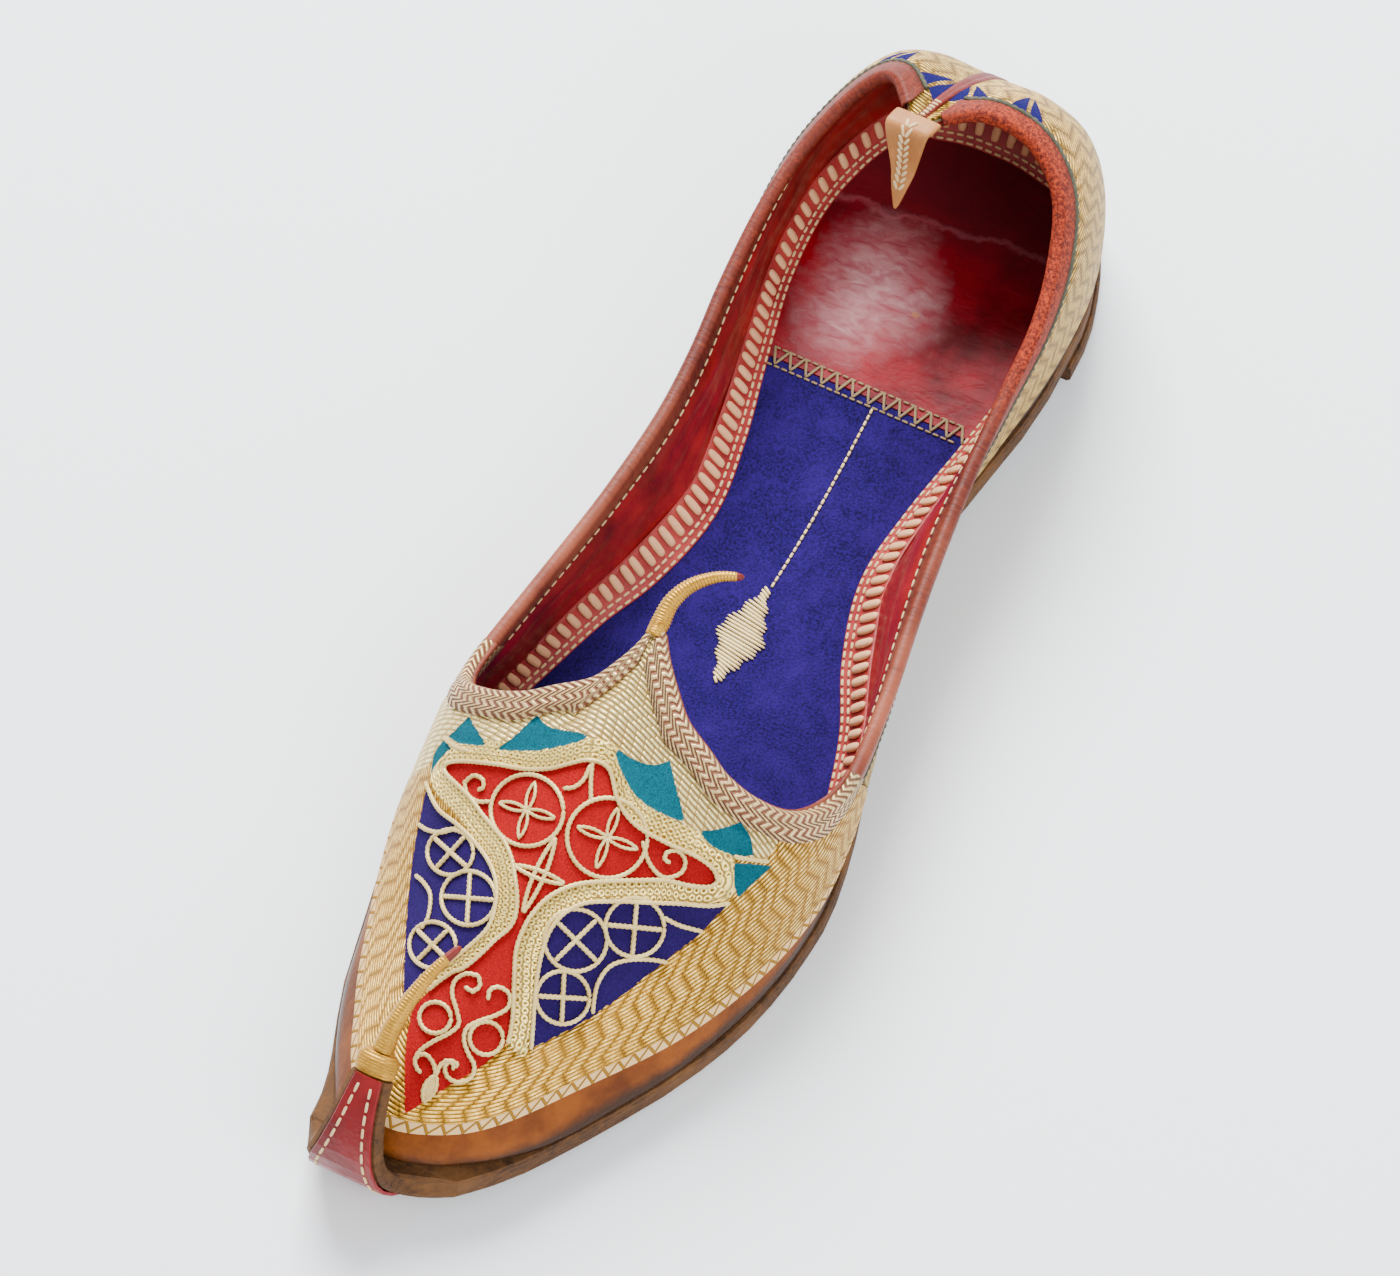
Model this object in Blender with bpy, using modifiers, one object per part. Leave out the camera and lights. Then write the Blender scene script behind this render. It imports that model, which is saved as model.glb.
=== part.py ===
"""Mojari: an embroidered leather slip-on shoe whose sole ends in a turned-up toe strip.

Metres, +Z up. The shoe is worked out from its heel, with X forward to the toe, and is
moved at the end so that the origin lies under the middle of its box.
"""
import math

import bmesh
import bpy
import numpy as np
from mathutils import Vector

# Sole
SOLE_LENGTH = 0.270
BALL_WIDTH = 0.084
WAIST_WIDTH = 0.0455
HEEL_WIDTH = 0.0645
OUTSOLE_THICKNESS = 0.0055
EDGE_ROUND = 0.0008
TOE_SPRING = 0.0045
LIFT_THICKNESS = 0.005
LIFT_LENGTH = 0.042
LIFT_STEP = 0.0008

# Turned-up strip of the sole
STRIP_WIDTH = 0.019
STRIP_THICKNESS = 0.003
BEND_RADIUS = 0.010
STRIP_LENGTH = 0.016
BEND_FROM = math.radians(14)
BEND_TO = math.radians(120)
STRIP_TO = math.radians(142)
SKEW = 0.0115

# Upper
WALL = 0.002
LEDGE = 0.0008
FOOT_GAP = 0.0007
INSTEP_HEIGHT = 0.0555
SIDE_HEIGHT = 0.032
COUNTER_HEIGHT = 0.0585
SHOULDER_SHIFT = 0.8

# What lies on the upper
GAP = 0.0003
PANEL_THICKNESS = 0.0009
PANEL_EDGE = 0.0085
BINDING_THICKNESS = 0.0009
BINDING_DEPTH = 0.0037
BINDING_ROUND = 0.0016
BINDING_CLEARANCE = 0.0006
LONGEST_SLANT = 1.9
SEAM_SPLIT = 0.45
BEAK_BARE = 0.8
TONGUE_BARE = 0.35
HORN_BASE = 0.0021
HORN_TIP = 0.0008
THROAT_HORN_REACH = 0.015
TOE_HORN_REACH = 0.021
TOE_HORN_RISE = 0.011

# Inside
INSOLE_THICKNESS = 0.0016
COVER_THICKNESS = 0.0007
INSOLE_CLEARANCE = 0.0012
SOCK_LENGTH = 0.071
TAB_WIDTH = 0.0085
TAB_LENGTH = 0.0165
TAB_THICKNESS = 0.0014
TAB_CLEARANCE = 0.0008

# Facing and wrapping of the strip
FACING_THICKNESS = 0.0008
FACING_MARGIN = 0.0012
WRAP_LENGTH = 0.0045
WRAP_THICKNESS = 0.0052

# How finely the forms are cut
COLUMNS_PER_ROW = 2
ROWS_UP_WALL = 8
STATIONS_PER_ROW = 2
BINDING_FACETS = 5

# Half the sole's width: each row is a share of the length from the heel, and shares of the
# named widths that add up to the width there.
OUTLINE_COLUMNS = ("at", "heel", "waist", "ball", "strip")
OUTLINE = (
    (0.000, 0.20, 0, 0, 0),
    (0.003, 0.36, 0, 0, 0),
    (0.012, 0.58, 0, 0, 0),
    (0.033, 0.74, 0, 0, 0),
    (0.055, 0.84, 0, 0, 0),
    (0.085, 0.93, 0, 0, 0),
    (0.130, 1.00, 0, 0, 0),
    (0.190, 0.995, 0, 0, 0),
    (0.270, 0.885, 0, 0, 0),
    (0.330, 0, 1.11, 0, 0),
    (0.375, 0, 1.005, 0, 0),
    (0.410, 0, 1.01, 0, 0),
    (0.460, 0, 0, 0.635, 0),
    (0.515, 0, 0, 0.785, 0),
    (0.560, 0, 0, 0.872, 0),
    (0.610, 0, 0, 0.955, 0),
    (0.660, 0, 0, 1.000, 0),
    (0.705, 0, 0, 0.990, 0),
    (0.755, 0, 0, 0.945, 0),
    (0.800, 0, 0, 0.865, 0),
    (0.860, 0, 0, 0.725, 0),
    (0.915, 0, 0, 0.560, 0),
    (0.950, 0, 0, 0.452, 0),
    (0.972, 0, 0, 0, 1.68),
)

# Underside of the outsole: shares of the length, of the heel lift and of the toe spring.
UNDERSIDE = (
    (0.000, 1.00, 0.00),
    (0.165, 1.00, 0.00),
    (0.240, 0.80, 0.00),
    (0.330, 0.45, 0.00),
    (0.420, 0.12, 0.00),
    (0.490, 0.00, 0.00),
    (0.770, 0.00, 0.00),
    (0.850, 0.00, 0.14),
    (0.910, 0.00, 0.42),
    (0.972, 0.00, 1.00),
)

# Centre line: shares of the length, and of the skew that takes the toe to one side.
CENTRE_LINE = (
    (0.00, -0.24),
    (0.11, -0.12),
    (0.26, 0.01),
    (0.40, 0.09),
    (0.55, 0.20),
    (0.66, 0.17),
    (0.73, 0.11),
    (0.81, -0.02),
    (0.87, -0.22),
    (0.91, -0.31),
    (0.94, -0.41),
    (0.972, -0.67),
    (1.00, -1.00),
)

# Turned-up strip: shares of its run, of its width, and of the way from the toe's centre
# line to its own.
STRIP = (
    (0.00, 1.68, 0.0),
    (0.12, 1.32, 0.5),
    (0.25, 1.00, 0.9),
    (0.40, 0.86, 1.0),
    (0.54, 0.70, 1.0),
    (0.75, 0.54, 1.0),
    (1.00, 0.42, 1.0),
)

# Ribs of the upper, from the middle of the toe round one side to the middle of the heel.
# Each is a curve from the sole to the opening, with two handles. X is a share of the sole's
# length. Y is a share of half the sole's width at the rib's foot. Handle heights are shares
# of the rib's rise. The edge's height is shares of the three named heights, its lean is a
# share of the skew, and on the left it lies further on by a share of the length.
RIB_COLUMNS = ("at", "foot", "belly_x", "belly_y", "belly_z", "shoulder_x", "shoulder_y",
               "shoulder_z", "edge_x", "edge_y", "instep", "side", "counter", "lean", "left_on")
RIBS = (
    (0.970, 0.00, 1.036, 0.00, 0.18, 0.745, 0.00, 0.87, 0.592, 0.00, 1.00, 0, 0, -0.30, 0),
    (0.965, 0.46, 1.022, 0.58, 0.15, 0.758, 0.36, 0.82, 0.609, 0.12, 0.985, 0, 0, -0.20, 0),
    (0.951, 0.78, 0.985, 0.90, 0.14, 0.772, 0.55, 0.76, 0.628, 0.29, 0.96, 0, 0, -0.10, 0),
    (0.915, 0.98, 0.922, 1.01, 0.13, 0.780, 0.67, 0.68, 0.646, 0.41, 0.93, 0, 0, -0.02, 0),
    (0.862, 1.00, 0.862, 1.00, 0.15, 0.762, 0.71, 0.68, 0.658, 0.53, 0.895, 0, 0, 0, 0.002),
    (0.800, 1.00, 0.798, 1.00, 0.19, 0.730, 0.79, 0.74, 0.666, 0.59, 0.85, 0, 0, 0, 0.004),
    (0.732, 1.00, 0.731, 1.00, 0.24, 0.696, 0.87, 0.78, 0.667, 0.68, 0.79, 0, 0, 0, 0.006),
    (0.668, 1.00, 0.668, 1.01, 0.29, 0.660, 0.95, 0.80, 0.658, 0.81, 0.71, 0, 0, 0, 0.010),
    (0.612, 1.00, 0.613, 1.02, 0.34, 0.625, 1.01, 0.78, 0.634, 0.94, 0.62, 0, 0, 0.02, 0.018),
    (0.562, 1.00, 0.562, 1.04, 0.34, 0.583, 1.06, 0.74, 0.598, 1.06, 0, 1.00, 0, 0.06, 0.022),
    (0.512, 1.00, 0.513, 1.06, 0.36, 0.520, 1.11, 0.72, 0.532, 1.13, 0, 1.00, 0, 0.10, 0.008),
    (0.460, 1.00, 0.460, 1.12, 0.36, 0.460, 1.23, 0.70, 0.460, 1.28, 0, 1.00, 0, 0.12, 0),
    (0.400, 1.00, 0.400, 1.14, 0.36, 0.397, 1.28, 0.68, 0.393, 1.41, 0, 1.03, 0, 0.12, 0),
    (0.340, 1.00, 0.339, 1.12, 0.40, 0.337, 1.21, 0.68, 0.334, 1.28, 0, 1.09, 0, 0.07, 0),
    (0.275, 1.00, 0.273, 1.08, 0.42, 0.273, 1.11, 0.72, 0.274, 1.12, 0, 1.19, 0, 0.02, 0),
    (0.200, 1.00, 0.197, 1.04, 0.42, 0.201, 1.03, 0.75, 0.211, 0.98, 0, 1.30, 0, 0.02, 0),
    (0.125, 1.00, 0.121, 1.03, 0.42, 0.132, 1.02, 0.78, 0.159, 0.895, 0, 0, 0.77, 0, 0),
    (0.060, 1.00, 0.051, 1.03, 0.40, 0.075, 1.02, 0.80, 0.122, 0.89, 0, 0, 0.86, 0.01, 0),
    (0.024, 0.94, 0.012, 0.97, 0.36, 0.040, 0.99, 0.80, 0.100, 0.81, 0, 0, 0.935, -0.14, 0),
    (0.012, 0.64, -0.003, 0.68, 0.32, 0.030, 0.72, 0.82, 0.100, 0.57, 0, 0, 0.985, -0.38, 0),
    (0.0075, 0.34, -0.009, 0.37, 0.30, 0.029, 0.38, 0.84, 0.115, 0.30, 0, 0, 0.99, -0.52, 0),
    (0.007, 0.00, -0.011, 0.00, 0.30, 0.029, 0.00, 0.84, 0.137, 0.00, 0, 0, 1.00, -0.58, 0),
)
LAST_RIB = len(RIBS) - 1
CORNER_RIB = 9
# How far apart the ribs stand at the corner of the throat, and at the back
CORNER_SPACING = 0.012
BACK_SPACING = 0.004

# Colours as the leather, cloth and metal thread look, with roughness and metallic
FINISHES = {
    "sole_leather": ((0.115, 0.060, 0.030), 0.75, 0.0),
    "upper_leather": ((0.330, 0.130, 0.045), 0.55, 0.0),
    "gold_embroidery": ((0.560, 0.400, 0.180), 0.45, 0.6),
    "red_leather": ((0.480, 0.060, 0.035), 0.50, 0.0),
    "crimson_leather": ((0.250, 0.010, 0.025), 0.35, 0.0),
    "blue_cloth": ((0.020, 0.022, 0.230), 0.90, 0.0),
    "tan_leather": ((0.420, 0.200, 0.080), 0.60, 0.0),
    "thread_braid": ((0.350, 0.220, 0.110), 0.55, 0.4),
}


def clear_scene():
    """Remove whatever the file holds."""
    for item in list(bpy.data.objects):
        bpy.data.objects.remove(item, do_unlink=True)


def new_collection(name):
    """A collection of the scene, emptied of any older one of its name."""
    old = bpy.data.collections.get(name)
    if old:
        bpy.data.collections.remove(old)
    made = bpy.data.collections.new(name)
    bpy.context.scene.collection.children.link(made)
    return made


def finish(name):
    """The material of one finish."""
    colour, roughness, metallic = FINISHES[name]
    material = bpy.data.materials.get(name) or bpy.data.materials.new(name)
    material.use_nodes = True
    shader = material.node_tree.nodes["Principled BSDF"]
    shader.inputs["Base Color"].default_value = (*colour, 1.0)
    shader.inputs["Roughness"].default_value = roughness
    shader.inputs["Metallic"].default_value = metallic
    material.diffuse_color = (*colour, 1.0)
    return material


def through(rows, column, at):
    """A smooth curve through one column of a table, which never overshoots its rows."""
    xs = np.array([row[0] for row in rows], float)
    ys = np.array([column(row) for row in rows], float)
    steps = np.diff(xs)
    rises = np.diff(ys) / steps
    slopes = np.zeros(len(xs))
    slopes[0] = rises[0]
    slopes[-1] = rises[-1]
    for i in range(1, len(xs) - 1):
        if rises[i - 1] * rises[i] > 0:
            before = 2 * steps[i] + steps[i - 1]
            after = steps[i] + 2 * steps[i - 1]
            slopes[i] = (before + after) / (before / rises[i - 1] + after / rises[i])
    at = np.clip(np.asarray(at, float), xs[0], xs[-1])
    i = np.clip(np.searchsorted(xs, at) - 1, 0, len(xs) - 2)
    t = (at - xs[i]) / steps[i]
    start = (1 + 2 * t) * (1 - t) ** 2 * ys[i] + t * (1 - t) ** 2 * steps[i] * slopes[i]
    end = t * t * (3 - 2 * t) * ys[i + 1] + t * t * (t - 1) * steps[i] * slopes[i + 1]
    return start + end


def sole_half_width(x):
    """Half the outsole's width at a distance from the heel."""
    def half(row):
        _, heel, waist, ball, strip = row
        whole = heel * HEEL_WIDTH + waist * WAIST_WIDTH + ball * BALL_WIDTH + strip * STRIP_WIDTH
        return whole / 2
    return through(OUTLINE, half, np.asarray(x) / SOLE_LENGTH)


def underside(x):
    """Height of the outsole's underside above the ground."""
    seat = LIFT_THICKNESS + GAP
    return through(UNDERSIDE, lambda row: row[1] * seat + row[2] * TOE_SPRING,
                   np.asarray(x) / SOLE_LENGTH)


def centre_line(x):
    """Sideways place of the shoe's centre line."""
    return through(CENTRE_LINE, lambda row: row[1] * SKEW, np.asarray(x) / SOLE_LENGTH)


def bend_start():
    """Where the strip starts to turn up, so that its bend ends at the sole's length."""
    return SOLE_LENGTH - BEND_RADIUS * (1 - math.sin(BEND_FROM))


def strip_place(share):
    """Point (x, z) of the strip's outer face and its heading, at a share of its run."""
    bend_run = BEND_RADIUS * (BEND_TO - BEND_FROM)
    run = share * (bend_run + STRIP_LENGTH)
    start_x = bend_start()
    start_z = TOE_SPRING
    heading = BEND_FROM + min(run, bend_run) / BEND_RADIUS
    x = start_x + BEND_RADIUS * (math.sin(heading) - math.sin(BEND_FROM))
    z = start_z + BEND_RADIUS * (math.cos(BEND_FROM) - math.cos(heading))
    if run > bend_run:
        radius = STRIP_LENGTH / (STRIP_TO - BEND_TO)
        heading = BEND_TO + (run - bend_run) / radius
        x += radius * (math.sin(heading) - math.sin(BEND_TO))
        z += radius * (math.cos(BEND_TO) - math.cos(heading))
    return x, z, heading


def strip_half_width(share):
    """Half the strip's width at a share of its run."""
    return float(through(STRIP, lambda row: row[1] * STRIP_WIDTH / 2, share))


def strip_centre(share):
    """Sideways place of the strip's middle at a share of its run."""
    way = float(through(STRIP, lambda row: row[2], share))
    toe = float(centre_line(bend_start()))
    return toe + way * (-SKEW - toe)


def refined(values, parts):
    """The values with evenly spaced ones put between them."""
    places = np.linspace(0, len(values) - 1, (len(values) - 1) * parts + 1)
    return np.interp(places, np.arange(len(values)), values)


def sole_stations():
    """Stations along the outsole: point, heading, half width, centre and thickness."""
    stations = []
    shares = refined([row[0] for row in OUTLINE], STATIONS_PER_ROW)
    flat_end = OUTLINE[-1][0]
    for share in shares:
        x = share / flat_end * bend_start()
        ahead = 0.0005
        slope = (float(underside(x)) - float(underside(x - ahead))) / ahead
        stations.append((x, float(underside(x)), math.atan(slope), float(sole_half_width(x)),
                         float(centre_line(x)), OUTSOLE_THICKNESS))
    for share in refined([row[0] for row in STRIP], STATIONS_PER_ROW)[1:]:
        x, z, heading = strip_place(share)
        skived = min(1.0, share / STRIP[3][0])
        thickness = OUTSOLE_THICKNESS + skived * (STRIP_THICKNESS - OUTSOLE_THICKNESS)
        stations.append((x, z, heading, strip_half_width(share), strip_centre(share), thickness))
    return stations


def sole_top(x):
    """Height of the outsole's upper face at a distance from the heel."""
    flat = sole_stations()[:(len(OUTLINE) - 1) * STATIONS_PER_ROW + 3]
    xs = [s[0] - s[5] * math.sin(s[2]) for s in flat]
    zs = [s[1] + s[5] * math.cos(s[2]) for s in flat]
    return np.interp(x, xs, zs)


def mesh_object(name, points, faces, material, collection):
    """A mesh object from points and faces, shaded smooth up to sharp edges."""
    mesh = bpy.data.meshes.new(name)
    mesh.from_pydata([tuple(p) for p in points], [], faces)
    mesh.shade_smooth()
    mesh.set_sharp_from_angle(angle=math.radians(40))
    mesh.materials.append(finish(material))
    made = bpy.data.objects.new(name, mesh)
    collection.objects.link(made)
    return made


def loft(name, sections, material, collection, capped=True):
    """A solid through closed sections of like numbers of points."""
    count = len(sections[0])
    points = [p for section in sections for p in section]
    faces = []
    for s in range(len(sections) - 1):
        for i in range(count):
            j = (i + 1) % count
            faces.append((s * count + i, s * count + j, (s + 1) * count + j, (s + 1) * count + i))
    if capped:
        last = (len(sections) - 1) * count
        faces.append(tuple(reversed(range(count))))
        faces.append(tuple(last + i for i in range(count)))
    made = mesh_object(name, points, faces, material, collection)
    work = bmesh.new()
    work.from_mesh(made.data)
    bmesh.ops.recalc_face_normals(work, faces=work.faces)
    work.to_mesh(made.data)
    work.free()
    return made


def slab_section(x, z, heading, half, centre, low, high, edge):
    """Section of a slab: a flat bar across the shoe with eased edges, normal to its run."""
    profile = ((edge, 0.0), (0.0, 0.2), (0.0, 0.85), (edge * 0.6, 1.0))
    right = []
    for inset, up in profile:
        rise = low + (high - low) * up
        right.append((x - rise * math.sin(heading), half - inset, z + rise * math.cos(heading)))
    left = [(px, -py, pz) for px, py, pz in reversed(right)]
    return [Vector((px, py + centre, pz)) for px, py, pz in right + left]


def build_outsole(collection):
    """The outsole and, in one piece with it, the strip turned up over the toe."""
    sections = []
    for x, z, heading, half, centre, thickness in sole_stations():
        sections.append(slab_section(x, z, heading, half, centre, 0.0, thickness, EDGE_ROUND))
    return loft("outsole", sections, "sole_leather", collection)


def build_heel_lift(collection):
    """The layer under the heel, which stands a little proud of the outsole's edge."""
    sections = []
    for share in refined([row[0] for row in OUTLINE], STATIONS_PER_ROW):
        x = share * SOLE_LENGTH
        if x >= LIFT_LENGTH:
            break
        back = x - LIFT_STEP * (1 - x / LIFT_LENGTH)
        half = float(sole_half_width(x)) + LIFT_STEP
        sections.append(slab_section(back, 0, 0, half, float(centre_line(x)), 0,
                                     LIFT_THICKNESS, EDGE_ROUND))
    half = float(sole_half_width(LIFT_LENGTH)) + LIFT_STEP
    sections.append(slab_section(LIFT_LENGTH, 0, 0, half, float(centre_line(LIFT_LENGTH)), 0,
                                 LIFT_THICKNESS, EDGE_ROUND))
    return loft("heel_lift", sections, "sole_leather", collection)


def rib_handles():
    """Four handles of each rib, in metres: x, half width and z, the edge's lean and shift."""
    handles = []
    leans = []
    shifts = []
    for row in RIBS:
        rib = dict(zip(RIB_COLUMNS, row))
        x = rib["at"] * SOLE_LENGTH
        half = float(sole_half_width(x)) - LEDGE
        foot_z = float(sole_top(x)) + FOOT_GAP
        edge_z = (rib["instep"] * INSTEP_HEIGHT + rib["side"] * SIDE_HEIGHT
                  + rib["counter"] * COUNTER_HEIGHT)
        rise = edge_z - foot_z
        handles.append((
            (x, rib["foot"] * half, foot_z),
            (rib["belly_x"] * SOLE_LENGTH, rib["belly_y"] * half, foot_z + rib["belly_z"] * rise),
            (rib["shoulder_x"] * SOLE_LENGTH, rib["shoulder_y"] * half,
             foot_z + rib["shoulder_z"] * rise),
            (rib["edge_x"] * SOLE_LENGTH, rib["edge_y"] * half, edge_z),
        ))
        leans.append(rib["lean"] * SKEW)
        shifts.append(rib["left_on"] * SOLE_LENGTH)
    return np.array(handles), np.array(leans), np.array(shifts)


HANDLES, LEANS, SHIFTS = rib_handles()


def with_ends(values, mirrored):
    """Rows with one more at each end: mirrored for a smooth join, or carried on for a point."""
    if mirrored:
        flip = np.array((1.0, -1.0, 1.0))
        return np.concatenate((values[1:2] * flip, values, values[-2:-1] * flip))
    return np.concatenate((2 * values[:1] - values[1:2], values, 2 * values[-1:] - values[-2:-1]))


SMOOTH_ROWS = with_ends(HANDLES, True)
POINTED_ROWS = with_ends(HANDLES, False)
LEAN_ROWS = with_ends(LEANS, False)
SHIFT_ROWS = with_ends(SHIFTS, False)


def between(rows, place):
    """Catmull-Rom value of a table that has one more row at each end."""
    i = min(int(place), len(rows) - 4)
    t = place - i
    a, b, c, d = rows[i], rows[i + 1], rows[i + 2], rows[i + 3]
    return b + 0.5 * t * (c - a + t * (2 * a - 5 * b + 4 * c - d + t * (3 * (b - c) + d - a)))


def wall_point(place, share):
    """Point of the upper's outer face. Place runs from the toe (0) along the right side to
    the heel (LAST_RIB) and back along the left side. Share runs from the sole to the edge."""
    around = place % (2 * LAST_RIB)
    side = 1.0
    if around > LAST_RIB:
        around = 2 * LAST_RIB - around
        side = -1.0
    smooth = between(SMOOTH_ROWS, around)
    foot, belly, shoulder = smooth[0], smooth[1], smooth[2]
    edge = between(POINTED_ROWS, around)[3]
    if side < 0:
        shift = np.array((between(SHIFT_ROWS, around), 0.0, 0.0))
        edge = edge + shift
        shoulder = shoulder + shift * SHOULDER_SHIFT
    lean = between(LEAN_ROWS, around) * share ** 3
    rest = 1 - share
    point = (foot * rest ** 3 + 3 * belly * rest ** 2 * share
             + 3 * shoulder * rest * share ** 2 + edge * share ** 3)
    return Vector((point[0], side * point[1] + lean + float(centre_line(point[0])), point[2]))


def wall_normal(place, share):
    """Outward normal of the upper's outer face."""
    along_step = 0.02
    up_step = 0.01
    low = max(share - up_step, 0.0)
    high = min(share + up_step, 1.0)
    along = wall_point(place + along_step, share) - wall_point(place - along_step, share)
    up = wall_point(place, high) - wall_point(place, low)
    return along.cross(up).normalized()


def height_share(place, height):
    """Share of a rib at which it has climbed a height above its foot."""
    foot = wall_point(place, 0.0).z
    low = 0.0
    high = 0.8
    for _ in range(18):
        middle = (low + high) / 2
        if wall_point(place, middle).z - foot < height:
            low = middle
        else:
            high = middle
    return low


def edge_run(place):
    """Direction in which the opening's edge runs."""
    step = 0.02
    return (wall_point(place + step, 1.0) - wall_point(place - step, 1.0)).normalized()


def depth_share(place, depth):
    """Share of a rib that lies at a depth below the opening's edge, square to the edge, or a
    little less deep where the rib meets the edge at a slant."""
    edge = wall_point(place, 1.0)
    longest = LONGEST_SLANT * depth
    low = 0.5
    high = 1.0
    run = edge_run(place)
    for _ in range(18):
        middle = (low + high) / 2
        down = wall_point(place, middle) - edge
        if down.cross(run).length > depth or down.length > longest:
            low = middle
        else:
            high = middle
    return high


def rib_shares(place):
    """Shares of a rib where rows of faces meet, from the sole to the edge. The third is the
    lower edge of the panels, and the last but one is how far the bindings reach down."""
    panel = height_share(place, PANEL_EDGE)
    binding = depth_share(place, BINDING_DEPTH)
    rows = ROWS_UP_WALL - 3
    above = [panel + (binding - panel) * i / rows for i in range(1, rows + 1)]
    return [0.0, panel * 0.5, panel] + above + [1.0]


def places_between(start, end):
    """Columns from one place round the upper to another, at the same places for all pieces."""
    step = 1.0 / COLUMNS_PER_ROW
    first = math.floor(start / step)
    last = math.ceil(end / step)
    inner = [i * step for i in range(first, last + 1)
             if start + step * 0.3 < i * step < end - step * 0.3]
    return [start] + inner + [end]


def wall_sheet(name, places, first_row, offset, closed, material, collection):
    """An open sheet of faces at an offset from the upper's outer face."""
    points = []
    for place in places:
        for share in rib_shares(place)[first_row:]:
            points.append(wall_point(place, share) + wall_normal(place, share) * offset)
    rows = len(points) // len(places)
    faces = []
    spans = len(places) if closed else len(places) - 1
    for s in range(spans):
        n = (s + 1) % len(places)
        for r in range(rows - 1):
            faces.append((s * rows + r, n * rows + r, n * rows + r + 1, s * rows + r + 1))
    return mesh_object(name, points, faces, material, collection)


def thicken(made, thickness, side):
    """A wall of real thickness, to the inside (-1) or the outside (1) of the sheet."""
    solid = made.modifiers.new("wall", "SOLIDIFY")
    solid.thickness = thickness
    solid.offset = side
    solid.use_rim = True
    return made


def build_upper(collection):
    """The leather upper, one hollow wall open at the collar and underneath."""
    step = 1.0 / COLUMNS_PER_ROW
    places = [i * step for i in range(int(2 * LAST_RIB / step))]
    sheet = wall_sheet("upper", places, 0, 0.0, True, "upper_leather", collection)
    return thicken(sheet, WALL, -1)


def build_panel(name, start, end, material, collection):
    """A panel that lies on the upper, from its lower edge up to the opening."""
    sheet = wall_sheet(name, places_between(start, end), 2, GAP, False, material, collection)
    return thicken(sheet, PANEL_THICKNESS, 1)


def edge_section(place):
    """Section of a binding folded over the opening's edge and the panel on it."""
    edge = wall_point(place, 1.0)
    out = wall_normal(place, 1.0)
    beyond = edge_run(place).cross(out).normalized()
    if beyond.dot(edge - wall_point(place, 0.9)) < 0:
        beyond.negate()
    leg = depth_share(place, BINDING_DEPTH)
    leg_point = wall_point(place, leg)
    leg_out = wall_normal(place, leg)
    outer = GAP + PANEL_THICKNESS + BINDING_CLEARANCE + BINDING_THICKNESS
    inner = -(WALL + BINDING_CLEARANCE + BINDING_THICKNESS)
    section = []
    for skin, turn in ((0.0, 1), (BINDING_THICKNESS, -1)):
        high = outer - skin
        low = inner + skin
        round_out = BINDING_CLEARANCE + BINDING_ROUND - skin
        skin_points = [leg_point + leg_out * high]
        for i in range(BINDING_FACETS + 1):
            angle = math.pi * (0.5 - i / BINDING_FACETS)
            rise = (high + low) / 2 + (high - low) / 2 * math.sin(angle)
            skin_points.append(edge + beyond * round_out * math.cos(angle) + out * rise)
        skin_points.append(leg_point + leg_out * low)
        section += skin_points[::turn]
    return section


def build_binding(name, start, end, material, collection):
    """A binding along the opening's edge."""
    sections = [edge_section(place) for place in places_between(start, end)]
    return loft(name, sections, material, collection)


def inside_outline(place, inset):
    """Point of the foot line, moved in by an inset, on the right side of the shoe."""
    step = 0.02
    here = between(SMOOTH_ROWS, place)[0]
    ahead = between(SMOOTH_ROWS, place + step)[0] - between(SMOOTH_ROWS, max(place - step, 0))[0]
    along = Vector((ahead[0], ahead[1])).normalized()
    return here[0] - inset * along.y, here[1] + inset * along.x


def floor_sections(start, end, low, high):
    """Sections of a layer that lies on the outsole inside the upper."""
    inset = WALL + INSOLE_CLEARANCE
    count = int((end - start) * STATIONS_PER_ROW) + 1
    sections = []
    for place in np.linspace(start, end, count):
        x, half = inside_outline(float(place), inset)
        half = max(half, GAP)
        z = float(sole_top(x)) + GAP
        centre = float(centre_line(x))
        sections.append([Vector((x, centre + half, z + low)), Vector((x, centre + half, z + high)),
                         Vector((x, centre - half, z + high)), Vector((x, centre - half, z + low))])
    return sections


def place_at(x):
    """Place round the upper whose foot lies at a distance from the heel."""
    low = 1.0
    high = LAST_RIB - 1.0
    for _ in range(30):
        middle = (low + high) / 2
        if inside_outline(middle, WALL + INSOLE_CLEARANCE)[0] > x:
            low = middle
        else:
            high = middle
    return low


def build_floor(collection):
    """The insole, the heel sock on its back half and the cloth on its forepart."""
    first = 0.6
    last = LAST_RIB - 0.8
    loft("insole", floor_sections(first, last, 0, INSOLE_THICKNESS), "tan_leather", collection)
    low = INSOLE_THICKNESS + GAP
    high = low + COVER_THICKNESS
    sock = floor_sections(place_at(SOCK_LENGTH - GAP / 2), last, low, high)
    cloth = floor_sections(first, place_at(SOCK_LENGTH + GAP / 2), low, high)
    loft("heel_sock", sock, "crimson_leather", collection)
    loft("insole_cloth", cloth, "blue_cloth", collection)


def build_toe_facing(collection):
    """The red leather facing on the outer face of the turned-up strip."""
    sections = []
    for share in np.linspace(0.03, 1.0, 13):
        x, z, heading = strip_place(float(share))
        half = min(strip_half_width(float(share)), STRIP_WIDTH / 2) - FACING_MARGIN
        sections.append(slab_section(x, z, heading, half, strip_centre(float(share)),
                                     -GAP - FACING_THICKNESS, -GAP, 0.0002))
    return loft("toe_facing", sections, "red_leather", collection)


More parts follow.
